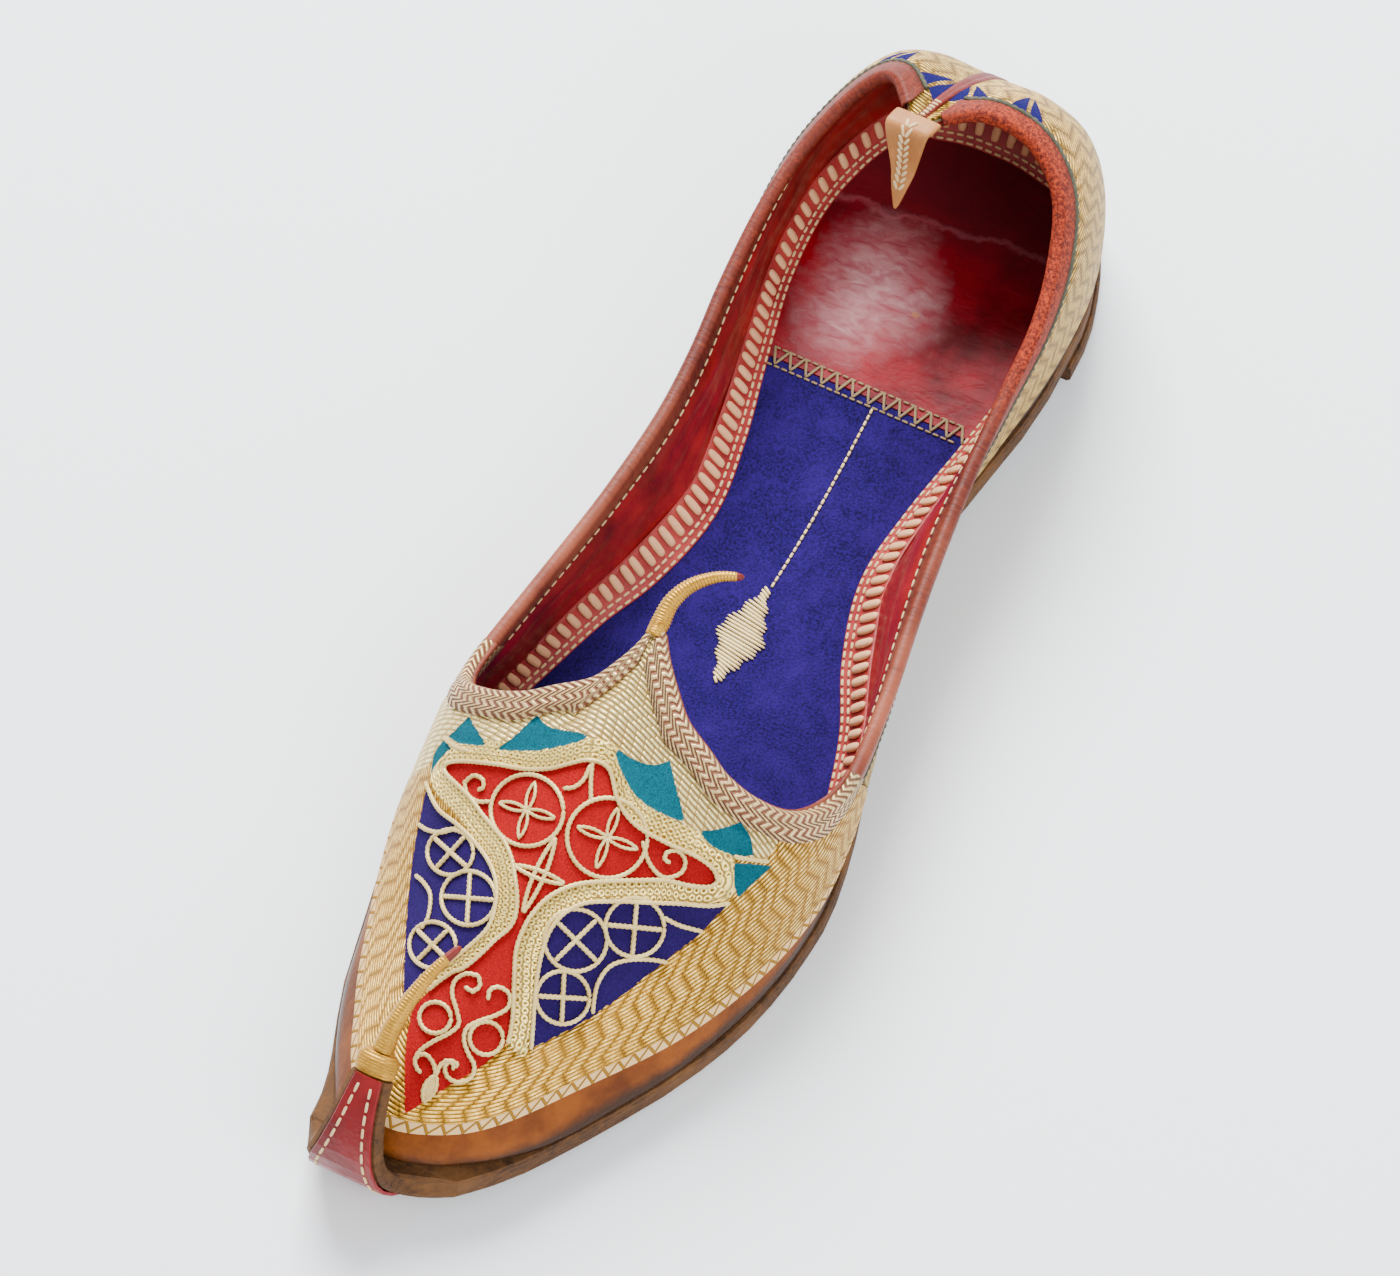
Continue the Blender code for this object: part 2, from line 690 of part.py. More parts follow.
def build_toe_wrap(collection):
    """The thread wrapping round the end of the strip, a flattened barrel."""
    x, z, heading = strip_place(1.0)
    centre = strip_centre(1.0)
    half = strip_half_width(1.0) + GAP
    sections = []
    for share, size in ((0.0, 0.86), (0.25, 1.0), (0.75, 0.98), (1.0, 0.72)):
        run = GAP + share * WRAP_LENGTH
        ring = []
        for i in range(12):
            angle = 2 * math.pi * i / 12
            across = half * size * math.cos(angle)
            rise = STRIP_THICKNESS / 2 + WRAP_THICKNESS / 2 * size * math.sin(angle)
            ring.append(Vector((x + run * math.cos(heading) - rise * math.sin(heading),
                                centre + across,
                                z + run * math.sin(heading) + rise * math.cos(heading))))
        sections.append(ring)
    return loft("toe_wrap", sections, "gold_embroidery", collection)


def build_horn(name, points, collection):
    """A tapering thread-wrapped horn along a smooth curve, as a tube with filled ends."""
    curve = bpy.data.curves.new(name, "CURVE")
    curve.dimensions = "3D"
    curve.bevel_depth = HORN_BASE
    curve.bevel_resolution = 2
    curve.use_fill_caps = True
    path = [points[0]] + list(points) + [points[-1]]
    line = []
    parts = 5
    for i in range(len(points) - 1):
        for j in range(parts):
            t = j / parts
            a, b, c, d = path[i], path[i + 1], path[i + 2], path[i + 3]
            line.append(b + 0.5 * t * (c - a + t * (2 * a - 5 * b + 4 * c - d
                                                    + t * (3 * (b - c) + d - a))))
    line.append(points[-1])
    spline = curve.splines.new("POLY")
    spline.points.add(len(line) - 1)
    for i, point in enumerate(line):
        share = i / (len(line) - 1)
        spline.points[i].co = (*point, 1.0)
        spline.points[i].radius = 1 + share * (HORN_TIP / HORN_BASE - 1)
    curve.materials.append(finish("gold_embroidery"))
    made = bpy.data.objects.new(name, curve)
    collection.objects.link(made)
    return made


def build_throat_horn(collection):
    """The horn that carries the tongue's tip on, curling to the right."""
    tip = wall_point(0, 1.0)
    clear = GAP * 2 + HORN_BASE
    reach = THROAT_HORN_REACH
    start = tip + Vector((-clear * 0.23, 0, clear * 0.1))
    return build_horn("throat_horn", [
        start,
        start + Vector((-0.28 * reach, 0.02 * reach, 0.14 * reach)),
        start + Vector((-0.56 * reach, 0.16 * reach, 0.24 * reach)),
        start + Vector((-0.80 * reach, 0.42 * reach, 0.29 * reach)),
        start + Vector((-0.95 * reach, 0.72 * reach, 0.29 * reach)),
    ], collection)


def build_toe_horn(collection):
    """The horn that carries the strip on, back over the vamp."""
    x, z, heading = strip_place(1.0)
    run = WRAP_LENGTH + 2.5 * GAP
    rise = STRIP_THICKNESS / 2
    start = Vector((x + run * math.cos(heading) - rise * math.sin(heading), strip_centre(1.0),
                    z + run * math.sin(heading) + rise * math.cos(heading)))
    reach = TOE_HORN_REACH
    climb = TOE_HORN_RISE
    return build_horn("toe_horn", [
        start,
        start + Vector((-0.22 * reach, 0.02 * reach, 0.34 * climb)),
        start + Vector((-0.48 * reach, 0.08 * reach, 0.64 * climb)),
        start + Vector((-0.75 * reach, 0.17 * reach, 0.87 * climb)),
        start + Vector((-1.00 * reach, 0.28 * reach, 1.00 * climb)),
    ], collection)


def build_heel_tab(collection):
    """The three-cornered tab that hangs inside the heel, under the beak of the counter."""
    inside = WALL + TAB_CLEARANCE + TAB_THICKNESS / 2
    beak = wall_point(LAST_RIB, 1.0)
    out = wall_normal(LAST_RIB, 1.0)
    start = beak - out * inside - Vector((0.002, 0, 0))
    sections = []
    for share, turn, size in ((0.0, 8, 1.0), (0.2, 22, 0.9), (0.45, 48, 0.66), (0.7, 62, 0.4),
                              (1.0, 66, 0.08)):
        angle = math.radians(turn)
        if sections:
            run = (share - previous) * TAB_LENGTH
            start = start + Vector((run * math.cos(angle), run * 0.06, -run * math.sin(angle)))
        previous = share
        half = TAB_WIDTH / 2 * size
        thick = Vector((math.sin(angle), 0, math.cos(angle))) * TAB_THICKNESS / 2
        across = Vector((0, half, 0))
        sections.append([start + across + thick, start + across - thick,
                         start - across - thick, start - across + thick])
    return loft("heel_tab", sections, "tan_leather", collection)


def centre_on_base(collection):
    """Move the parts so that the origin lies under the middle of their box."""
    bpy.context.view_layer.update()
    graph = bpy.context.evaluated_depsgraph_get()
    corners = []
    for part in collection.objects:
        solid = part.evaluated_get(graph)
        mesh = solid.to_mesh()
        corners += [part.matrix_world @ v.co for v in mesh.vertices]
        solid.to_mesh_clear()
    low = Vector([min(c[i] for c in corners) for i in range(3)])
    high = Vector([max(c[i] for c in corners) for i in range(3)])
    shift = Vector(((low.x + high.x) / 2, (low.y + high.y) / 2, low.z))
    for part in collection.objects:
        part.location = part.location - shift


def build():
    """The whole shoe."""
    clear_scene()
    shoe = new_collection("mojari")
    build_outsole(shoe)
    build_heel_lift(shoe)
    build_upper(shoe)
    corner = float(CORNER_RIB)
    seam = GAP / CORNER_SPACING
    join = 2 * seam
    round_back = 2 * LAST_RIB
    heel = float(LAST_RIB)
    back_gap = GAP / BACK_SPACING
    build_panel("quarter_panel_right", corner + seam, heel - SEAM_SPLIT - back_gap,
                "gold_embroidery", shoe)
    build_panel("quarter_panel_left", heel + SEAM_SPLIT + back_gap, round_back - corner - seam,
                "gold_embroidery", shoe)
    build_panel("back_strip", heel - SEAM_SPLIT, heel + SEAM_SPLIT, "red_leather", shoe)
    sheet = wall_sheet("vamp_panel", places_between(-corner, corner), 2, GAP, False,
                       "gold_embroidery", shoe)
    thicken(sheet, PANEL_THICKNESS, 1)
    build_binding("collar_binding_right", corner + join, heel - BEAK_BARE, "red_leather", shoe)
    build_binding("collar_binding_left", heel + BEAK_BARE, round_back - corner - join,
                  "red_leather", shoe)
    build_binding("throat_braid_right", TONGUE_BARE, corner - join, "thread_braid", shoe)
    build_binding("throat_braid_left", round_back - corner + join, round_back - TONGUE_BARE,
                  "thread_braid", shoe)
    build_floor(shoe)
    build_toe_facing(shoe)
    build_toe_wrap(shoe)
    build_toe_horn(shoe)
    build_throat_horn(shoe)
    build_heel_tab(shoe)
    centre_on_base(shoe)


build()
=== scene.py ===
"""The look of the mojari: its leathers, gold embroidery, stitches, horns and lighting.

Metres, +Z up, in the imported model's frame. The wall's own forms are worked out from the heel,
as in the part's source, and moved onto the frame by HEEL.
"""
import math

import bmesh
import bpy
import numpy as np
from mathutils import Matrix, Vector, noise
from mathutils.bvhtree import BVHTree


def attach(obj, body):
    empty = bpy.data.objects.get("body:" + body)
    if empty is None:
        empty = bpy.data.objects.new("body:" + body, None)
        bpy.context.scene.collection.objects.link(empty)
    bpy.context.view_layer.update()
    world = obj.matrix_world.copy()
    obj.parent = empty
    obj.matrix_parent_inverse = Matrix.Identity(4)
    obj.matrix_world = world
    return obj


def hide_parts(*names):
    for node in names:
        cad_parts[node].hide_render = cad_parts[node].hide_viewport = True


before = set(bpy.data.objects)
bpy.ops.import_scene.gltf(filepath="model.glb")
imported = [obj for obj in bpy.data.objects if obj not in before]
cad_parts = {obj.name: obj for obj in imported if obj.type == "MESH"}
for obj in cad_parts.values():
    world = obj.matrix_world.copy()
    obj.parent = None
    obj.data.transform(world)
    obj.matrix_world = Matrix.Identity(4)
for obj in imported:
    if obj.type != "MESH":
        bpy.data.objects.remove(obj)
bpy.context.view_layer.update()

MM = 0.001
HEEL = Vector((-0.13512, -0.00191, 0.0))
CURVE_PARTS = 8

# Sole
SOLE_LENGTH = 0.270
BALL_WIDTH = 0.084
WAIST_WIDTH = 0.0455
HEEL_WIDTH = 0.0645
OUTSOLE_THICKNESS = 0.0055
TOE_SPRING = 0.0045
LIFT_THICKNESS = 0.005
STRIP_WIDTH = 0.019
STRIP_THICKNESS = 0.003
BEND_RADIUS = 0.010
STRIP_LENGTH = 0.016
BEND_FROM = math.radians(14)
BEND_TO = math.radians(120)
STRIP_TO = math.radians(142)
SKEW = 0.0115

# Upper
WALL = 0.002
LEDGE = 0.0008
FOOT_GAP = 0.0007
GAP = 0.0003
INSTEP_HEIGHT = 0.0555
SIDE_HEIGHT = 0.032
COUNTER_HEIGHT = 0.0585
SHOULDER_SHIFT = 0.8
PANEL_THICKNESS = 0.0009
PANEL_PARED = 0.0006
PANEL_EDGE = 0.0085
PANEL_END = 0.03
INSIDE_FLOOR = 0.0029
INSOLE_CLEARANCE = 0.0012
SOCK_LENGTH = 0.071

# Half the sole's width: share of the length, and shares of the named widths
OUTLINE = (
    (0.000, 0.20, 0, 0, 0),
    (0.003, 0.36, 0, 0, 0),
    (0.012, 0.58, 0, 0, 0),
    (0.033, 0.74, 0, 0, 0),
    (0.055, 0.84, 0, 0, 0),
    (0.085, 0.93, 0, 0, 0),
    (0.130, 1.00, 0, 0, 0),
    (0.190, 0.995, 0, 0, 0),
    (0.270, 0.885, 0, 0, 0),
    (0.330, 0, 1.11, 0, 0),
    (0.375, 0, 1.005, 0, 0),
    (0.410, 0, 1.01, 0, 0),
    (0.460, 0, 0, 0.635, 0),
    (0.515, 0, 0, 0.785, 0),
    (0.560, 0, 0, 0.872, 0),
    (0.610, 0, 0, 0.955, 0),
    (0.660, 0, 0, 1.000, 0),
    (0.705, 0, 0, 0.990, 0),
    (0.755, 0, 0, 0.945, 0),
    (0.800, 0, 0, 0.865, 0),
    (0.860, 0, 0, 0.725, 0),
    (0.915, 0, 0, 0.560, 0),
    (0.950, 0, 0, 0.452, 0),
    (0.972, 0, 0, 0, 1.68),
)

# Underside of the outsole: shares of the length, of the heel lift and of the toe spring
UNDERSIDE = (
    (0.000, 1.00, 0.00),
    (0.165, 1.00, 0.00),
    (0.240, 0.80, 0.00),
    (0.330, 0.45, 0.00),
    (0.420, 0.12, 0.00),
    (0.490, 0.00, 0.00),
    (0.770, 0.00, 0.00),
    (0.850, 0.00, 0.14),
    (0.910, 0.00, 0.42),
    (0.972, 0.00, 1.00),
)

# Centre line: shares of the length and of the toe's skew
CENTRE_LINE = (
    (0.00, -0.24),
    (0.11, -0.12),
    (0.26, 0.01),
    (0.40, 0.09),
    (0.55, 0.20),
    (0.66, 0.17),
    (0.73, 0.11),
    (0.81, -0.02),
    (0.87, -0.22),
    (0.91, -0.31),
    (0.94, -0.41),
    (0.972, -0.67),
    (1.00, -1.00),
)

# Turned-up strip: shares of its run, of its width, and of the way to its own middle
STRIP = (
    (0.00, 1.68, 0.0),
    (0.12, 1.32, 0.5),
    (0.25, 1.00, 0.9),
    (0.40, 0.86, 1.0),
    (0.54, 0.70, 1.0),
    (0.75, 0.54, 1.0),
    (1.00, 0.42, 1.0),
)

# Ribs of the upper from the middle of the toe round to the middle of the heel: share of the
# length, foot, belly x y z, shoulder x y z, edge x y, shares of the instep, side and counter
# heights, lean, and how much further on the left edge lies.
RIBS = (
    (0.970, 0.00, 1.036, 0.00, 0.18, 0.745, 0.00, 0.87, 0.592, 0.00, 1.00, 0, 0, -0.30, 0),
    (0.965, 0.46, 1.022, 0.58, 0.15, 0.758, 0.36, 0.82, 0.609, 0.12, 0.985, 0, 0, -0.20, 0),
    (0.951, 0.78, 0.985, 0.90, 0.14, 0.772, 0.55, 0.76, 0.628, 0.29, 0.96, 0, 0, -0.10, 0),
    (0.915, 0.98, 0.922, 1.01, 0.13, 0.780, 0.67, 0.68, 0.646, 0.41, 0.93, 0, 0, -0.02, 0),
    (0.862, 1.00, 0.862, 1.00, 0.15, 0.762, 0.71, 0.68, 0.658, 0.53, 0.895, 0, 0, 0, 0.002),
    (0.800, 1.00, 0.798, 1.00, 0.19, 0.730, 0.79, 0.74, 0.666, 0.59, 0.85, 0, 0, 0, 0.004),
    (0.732, 1.00, 0.731, 1.00, 0.24, 0.696, 0.87, 0.78, 0.667, 0.68, 0.79, 0, 0, 0, 0.006),
    (0.668, 1.00, 0.668, 1.01, 0.29, 0.660, 0.95, 0.80, 0.658, 0.81, 0.71, 0, 0, 0, 0.010),
    (0.612, 1.00, 0.613, 1.02, 0.34, 0.625, 1.01, 0.78, 0.634, 0.94, 0.62, 0, 0, 0.02, 0.018),
    (0.562, 1.00, 0.562, 1.04, 0.34, 0.583, 1.06, 0.74, 0.598, 1.06, 0, 1.00, 0, 0.06, 0.022),
    (0.512, 1.00, 0.513, 1.06, 0.36, 0.520, 1.11, 0.72, 0.532, 1.13, 0, 1.00, 0, 0.10, 0.008),
    (0.460, 1.00, 0.460, 1.12, 0.36, 0.460, 1.23, 0.70, 0.460, 1.28, 0, 1.00, 0, 0.12, 0),
    (0.400, 1.00, 0.400, 1.14, 0.36, 0.397, 1.28, 0.68, 0.393, 1.41, 0, 1.03, 0, 0.12, 0),
    (0.340, 1.00, 0.339, 1.12, 0.40, 0.337, 1.21, 0.68, 0.334, 1.28, 0, 1.09, 0, 0.07, 0),
    (0.275, 1.00, 0.273, 1.08, 0.42, 0.273, 1.11, 0.72, 0.274, 1.12, 0, 1.19, 0, 0.02, 0),
    (0.200, 1.00, 0.197, 1.04, 0.42, 0.201, 1.03, 0.75, 0.211, 0.98, 0, 1.30, 0, 0.02, 0),
    (0.125, 1.00, 0.121, 1.03, 0.42, 0.132, 1.02, 0.78, 0.159, 0.895, 0, 0, 0.77, 0, 0),
    (0.060, 1.00, 0.051, 1.03, 0.40, 0.075, 1.02, 0.80, 0.122, 0.89, 0, 0, 0.86, 0.01, 0),
    (0.024, 0.94, 0.012, 0.97, 0.36, 0.040, 0.99, 0.80, 0.100, 0.81, 0, 0, 0.935, -0.14, 0),
    (0.012, 0.64, -0.003, 0.68, 0.32, 0.030, 0.72, 0.82, 0.100, 0.57, 0, 0, 0.985, -0.38, 0),
    (0.0075, 0.34, -0.009, 0.37, 0.30, 0.029, 0.38, 0.84, 0.115, 0.30, 0, 0, 0.99, -0.52, 0),
    (0.007, 0.00, -0.011, 0.00, 0.30, 0.029, 0.00, 0.84, 0.137, 0.00, 0, 0, 1.00, -0.58, 0),
)
HEEL_RIB = len(RIBS) - 1
CORNER = 9.0
AROUND = 2 * HEEL_RIB


def through(rows, column, at):
    """A smooth curve through one column of a table, which never overshoots its rows."""
    xs = np.array([row[0] for row in rows], float)
    ys = np.array([column(row) for row in rows], float)
    steps = np.diff(xs)
    rises = np.diff(ys) / steps
    slopes = np.zeros(len(xs))
    slopes[0] = rises[0]
    slopes[-1] = rises[-1]
    for i in range(1, len(xs) - 1):
        if rises[i - 1] * rises[i] > 0:
            before = 2 * steps[i] + steps[i - 1]
            after = steps[i] + 2 * steps[i - 1]
            slopes[i] = (before + after) / (before / rises[i - 1] + after / rises[i])
    at = np.clip(np.asarray(at, float), xs[0], xs[-1])
    i = np.clip(np.searchsorted(xs, at) - 1, 0, len(xs) - 2)
    t = (at - xs[i]) / steps[i]
    start = (1 + 2 * t) * (1 - t) ** 2 * ys[i] + t * (1 - t) ** 2 * steps[i] * slopes[i]
    end = t * t * (3 - 2 * t) * ys[i + 1] + t * t * (t - 1) * steps[i] * slopes[i + 1]
    return start + end


def sole_half_width(x):
    """Half the outsole's width at a distance from the heel."""
    def half(row):
        _, heel, waist, ball, strip = row
        whole = heel * HEEL_WIDTH + waist * WAIST_WIDTH + ball * BALL_WIDTH + strip * STRIP_WIDTH
        return whole / 2
    return through(OUTLINE, half, np.asarray(x) / SOLE_LENGTH)


def underside(x):
    """Height of the outsole's underside."""
    return through(UNDERSIDE, lambda row: row[1] * (LIFT_THICKNESS + GAP) + row[2] * TOE_SPRING,
                   np.asarray(x) / SOLE_LENGTH)


def centre_line(x):
    """Sideways place of the shoe's centre line."""
    return through(CENTRE_LINE, lambda row: row[1] * SKEW, np.asarray(x) / SOLE_LENGTH)


def bend_start():
    """Where the strip starts to turn up."""
    return SOLE_LENGTH - BEND_RADIUS * (1 - math.sin(BEND_FROM))


def strip_place(share):
    """Point (x, z) of the strip's outer face and its heading, at a share of its run."""
    bend_run = BEND_RADIUS * (BEND_TO - BEND_FROM)
    run = share * (bend_run + STRIP_LENGTH)
    heading = BEND_FROM + min(run, bend_run) / BEND_RADIUS
    x = bend_start() + BEND_RADIUS * (math.sin(heading) - math.sin(BEND_FROM))
    z = TOE_SPRING + BEND_RADIUS * (math.cos(BEND_FROM) - math.cos(heading))
    if run > bend_run:
        radius = STRIP_LENGTH / (STRIP_TO - BEND_TO)
        heading = BEND_TO + (run - bend_run) / radius
        x += radius * (math.sin(heading) - math.sin(BEND_TO))
        z += radius * (math.cos(BEND_TO) - math.cos(heading))
    return x, z, heading


def strip_half_width(share):
    """Half the strip's width at a share of its run."""
    return float(through(STRIP, lambda row: row[1] * STRIP_WIDTH / 2, share))


def strip_centre(share):
    """Sideways place of the strip's middle at a share of its run."""
    way = float(through(STRIP, lambda row: row[2], share))
    toe = float(centre_line(bend_start()))
    return toe + way * (-SKEW - toe)


def on_strip(share, across, rise):
    """Point on the turned-up strip, a height above its outer face."""
    x, z, heading = strip_place(share)
    return HEEL + Vector((x - rise * math.sin(heading), strip_centre(share) + across,
                          z + rise * math.cos(heading)))


FLAT_X = np.linspace(0.0, SOLE_LENGTH * 0.97, 120)
FLAT_SLOPE = np.arctan((underside(FLAT_X + 0.0005) - underside(FLAT_X - 0.0005)) / 0.001)
TOP_X = FLAT_X - OUTSOLE_THICKNESS * np.sin(FLAT_SLOPE)
TOP_Z = underside(FLAT_X) + OUTSOLE_THICKNESS * np.cos(FLAT_SLOPE)


def sole_top(x):
    """Height of the outsole's upper face."""
    return np.interp(x, TOP_X, TOP_Z)


def rib_handles():
    """Four handles of each rib: x, half width and z."""
    handles = []
    for (at, foot, belly_x, belly_y, belly_z, shoulder_x, shoulder_y, shoulder_z, edge_x,
         edge_y, instep, side, counter, _, _) in RIBS:
        x = at * SOLE_LENGTH
        half = float(sole_half_width(x)) - LEDGE
        low = float(sole_top(x)) + FOOT_GAP
        high = instep * INSTEP_HEIGHT + side * SIDE_HEIGHT + counter * COUNTER_HEIGHT
        rise = high - low
        handles.append(((x, foot * half, low),
                        (belly_x * SOLE_LENGTH, belly_y * half, low + belly_z * rise),
                        (shoulder_x * SOLE_LENGTH, shoulder_y * half, low + shoulder_z * rise),
                        (edge_x * SOLE_LENGTH, edge_y * half, high)))
    return np.array(handles)


def with_ends(values, mirrored):
    """Rows with one more at each end: mirrored for a smooth join, or carried on for a point."""
    if mirrored:
        flip = np.array((1.0, -1.0, 1.0))
        return np.concatenate((values[1:2] * flip, values, values[-2:-1] * flip))
    return np.concatenate((2 * values[:1] - values[1:2], values, 2 * values[-1:] - values[-2:-1]))


SMOOTH_ROWS = with_ends(rib_handles(), True)
POINTED_ROWS = with_ends(rib_handles(), False)
LEAN_ROWS = with_ends(np.array([row[13] * SKEW for row in RIBS]), False)
SHIFT_ROWS = with_ends(np.array([row[14] * SOLE_LENGTH for row in RIBS]), False)


def between(rows, place):
    """Catmull-Rom values of a table that has one more row at each end."""
    i = np.clip(place.astype(int), 0, len(rows) - 4)
    t = (place - i).reshape((-1,) + (1,) * (rows.ndim - 1))
    a, b, c, d = rows[i], rows[i + 1], rows[i + 2], rows[i + 3]
    return b + 0.5 * t * (c - a + t * (2 * a - 5 * b + 4 * c - d + t * (3 * (b - c) + d - a)))


def wall(place, share):
    """Points of the upper's outer face. Place runs from the toe along +Y to the heel and back
    along -Y, share from the sole to the opening's edge."""
    place, share = np.broadcast_arrays(np.asarray(place, float), np.asarray(share, float))
    place = place.ravel()
    share = share.ravel()
    around = np.mod(place, AROUND)
    left = around > HEEL_RIB
    around = np.where(left, AROUND - around, around)
    smooth = between(SMOOTH_ROWS, around)
    edge = between(POINTED_ROWS, around)[:, 3].copy()
    shoulder = smooth[:, 2].copy()
    shift = between(SHIFT_ROWS, around) * left
    edge[:, 0] += shift
    shoulder[:, 0] += shift * SHOULDER_SHIFT
    s = share[:, None]
    rest = 1 - s
    point = (smooth[:, 0] * rest ** 3 + 3 * smooth[:, 1] * rest ** 2 * s
             + 3 * shoulder * rest * s ** 2 + edge * s ** 3)
    lean = between(LEAN_ROWS, around) * share ** 3
    point[:, 1] = np.where(left, -1, 1) * point[:, 1] + lean + centre_line(point[:, 0])
    return point + np.array(HEEL)


def wall_out(place, share):
    """Outward directions of the upper's outer face."""
    place, share = np.broadcast_arrays(np.asarray(place, float), np.asarray(share, float))
    along = wall(place + 0.02, share) - wall(place - 0.02, share)
    up = wall(place, np.minimum(share + 0.01, 1)) - wall(place, np.maximum(share - 0.01, 0))
    out = np.cross(along, up)
    return out / np.linalg.norm(out, axis=1)[:, None]


def on_wall(place, share, offset):
    """Points at an offset out from the upper's outer face."""
    place, share, offset = np.broadcast_arrays(place, share, offset)
    return wall(place, share) + wall_out(place, share) * offset.reshape(-1, 1)


def share_at_height(place, height):
    """Shares at which the ribs have climbed a height above their feet."""
    place = np.asarray(place, float)
    foot = wall(place, 0.0)[:, 2]
    low = np.zeros(len(place))
    high = np.full(len(place), 0.8)
    for _ in range(18):
        middle = (low + high) / 2
        under = wall(place, middle)[:, 2] - foot < height
        low = np.where(under, middle, low)
        high = np.where(under, high, middle)
    return low


def edge_run(place):
    """Directions in which the opening's edge runs."""
    run = wall(place + 0.02, 1.0) - wall(place - 0.02, 1.0)
    return run / np.linalg.norm(run, axis=1)[:, None]


def share_at_depth(place, depth):
    """Shares at a depth below the opening's edge, square to it, or less deep on a slant."""
    place = np.asarray(place, float)
    edge = wall(place, 1.0)
    run = edge_run(place)
    low = np.full(len(place), 0.5)
    high = np.ones(len(place))
    for _ in range(18):
        middle = (low + high) / 2
        down = wall(place, middle) - edge
        square = np.linalg.norm(np.cross(down, run), axis=1)
        over = (square > depth) | (np.linalg.norm(down, axis=1) > 1.9 * depth)
        low = np.where(over, middle, low)
        high = np.where(over, high, middle)
    return high


def pared(places, shares):
    """How far the leather is pared away towards the opening's edge, from 0 to 1."""
    near = share_at_depth(places, 0.0035)
    far = share_at_depth(places, 0.0075)
    part = np.clip((shares - far) / (near - far), 0, 1)
    return part * part * (3 - 2 * part)


def panel_face(places, shares):
    """How far out of the wall the panels' outer faces lie."""
    return GAP + PANEL_THICKNESS - PANEL_PARED * pared(places, shares)


def lengths_along(points):
    """Distances along a row of points, from its first."""
    steps = np.linalg.norm(np.diff(points, axis=0), axis=1)
    return np.concatenate(([0.0], np.cumsum(steps)))


# Camera, worked out from the photograph: the toe turned to it and a high view
VIEW_TURN = math.radians(27.0)
VIEW_TILT = math.radians(60.0)
VIEW_FROM = 1.350
VIEW_AT = HEEL + Vector((0.1407, -0.0021, 0.0212))
FOCAL_PIXELS = 6901.0
PHOTO_WIDTH = 1400.0
PHOTO_AT = (455.0, 612.0)
BACK = Vector((math.cos(VIEW_TURN) * math.cos(VIEW_TILT),
               math.sin(VIEW_TURN) * math.cos(VIEW_TILT), math.sin(VIEW_TILT)))
RIGHT = Vector((-math.sin(VIEW_TURN), math.cos(VIEW_TURN), 0.0))
UP = BACK.cross(RIGHT)


def add_camera():
    """The camera at the photograph's angle, with this one shoe in the middle."""
    data = bpy.data.cameras.new("photo_camera")
    data.sensor_width = 36.0
    data.lens = FOCAL_PIXELS / PHOTO_WIDTH * data.sensor_width
    data.clip_end = 20.0
    camera = bpy.data.objects.new("photo_camera", data)
    camera.matrix_world = Matrix((RIGHT, UP, BACK)).transposed().to_4x4()
    camera.location = VIEW_AT + BACK * VIEW_FROM
    bpy.context.scene.collection.objects.link(camera)
    bpy.context.scene.camera = camera


def photo_ray(x, y):
    """Start and direction of the ray through a place in the photograph."""
    start = VIEW_AT + BACK * VIEW_FROM
    way = -BACK + RIGHT * (x - PHOTO_AT[0]) / FOCAL_PIXELS - UP * (y - PHOTO_AT[1]) / FOCAL_PIXELS
    return start, way.normalized()


def photo_place(points):
    """Places in the photograph of many points."""
    from_camera = points - np.array(VIEW_AT + BACK * VIEW_FROM)
    depth = -from_camera @ np.array(BACK)
    x = PHOTO_AT[0] + from_camera @ np.array(RIGHT) / depth * FOCAL_PIXELS
    y = PHOTO_AT[1] - from_camera @ np.array(UP) / depth * FOCAL_PIXELS
    return np.stack((x, y), 1)


# Colours and shader nodes

def colour(code):
    """Linear colour of an sRGB hex code."""
    parts = [int(code[i:i + 2], 16) / 255 for i in (0, 2, 4)]
    linear = [p / 12.92 if p <= 0.04045 else ((p + 0.055) / 1.055) ** 2.4 for p in parts]
    return (*linear, 1.0)


def output(source):
    """The socket on which a node gives its result, a hex code's colour, or the value itself."""
    if isinstance(source, bpy.types.Node):
        return next(socket for socket in source.outputs if socket.enabled)
    return colour(source) if isinstance(source, str) else source


def node(tree, kind, inputs=None, **settings):
    """A shader node with its settings, and with values or other nodes on its sockets."""
    made = tree.nodes.new("ShaderNode" + kind)
    for name, value in settings.items():
        setattr(made, name, value)
    for socket, value in (inputs or {}).items():
        value = output(value)
        if isinstance(value, bpy.types.NodeSocket):
            tree.links.new(value, made.inputs[socket])
        else:
            made.inputs[socket].default_value = value
    return made


def repeating(tree, value, period):
    """Share of its period that a value has reached, from 0 to 1 and round again."""
    return node(tree, "Math", {0: node(tree, "Math", {0: value, 1: period}, operation="DIVIDE")},
                operation="FRACT")


def hump(tree, share):
    """A round rise and fall while a share goes from 0 to 1."""
    return node(tree, "Math", {0: node(tree, "Math", {0: share, 1: math.pi},
                                       operation="MULTIPLY")}, operation="SINE")


def apart(tree, first, second):
    """How far two values lie apart."""
    return node(tree, "Math", {0: node(tree, "Math", {0: first, 1: second},
                                       operation="SUBTRACT")}, operation="ABSOLUTE")


def new_material(name, **fixed):
    """A material with its shader, and values that are the same all over it."""
    material = bpy.data.materials.new(name)
    material.use_nodes = True
    tree = material.node_tree
    shader = tree.nodes["Principled BSDF"]
    for socket, value in fixed.items():
        shader.inputs[socket.replace("_", " ")].default_value = value
    return material, tree, shader


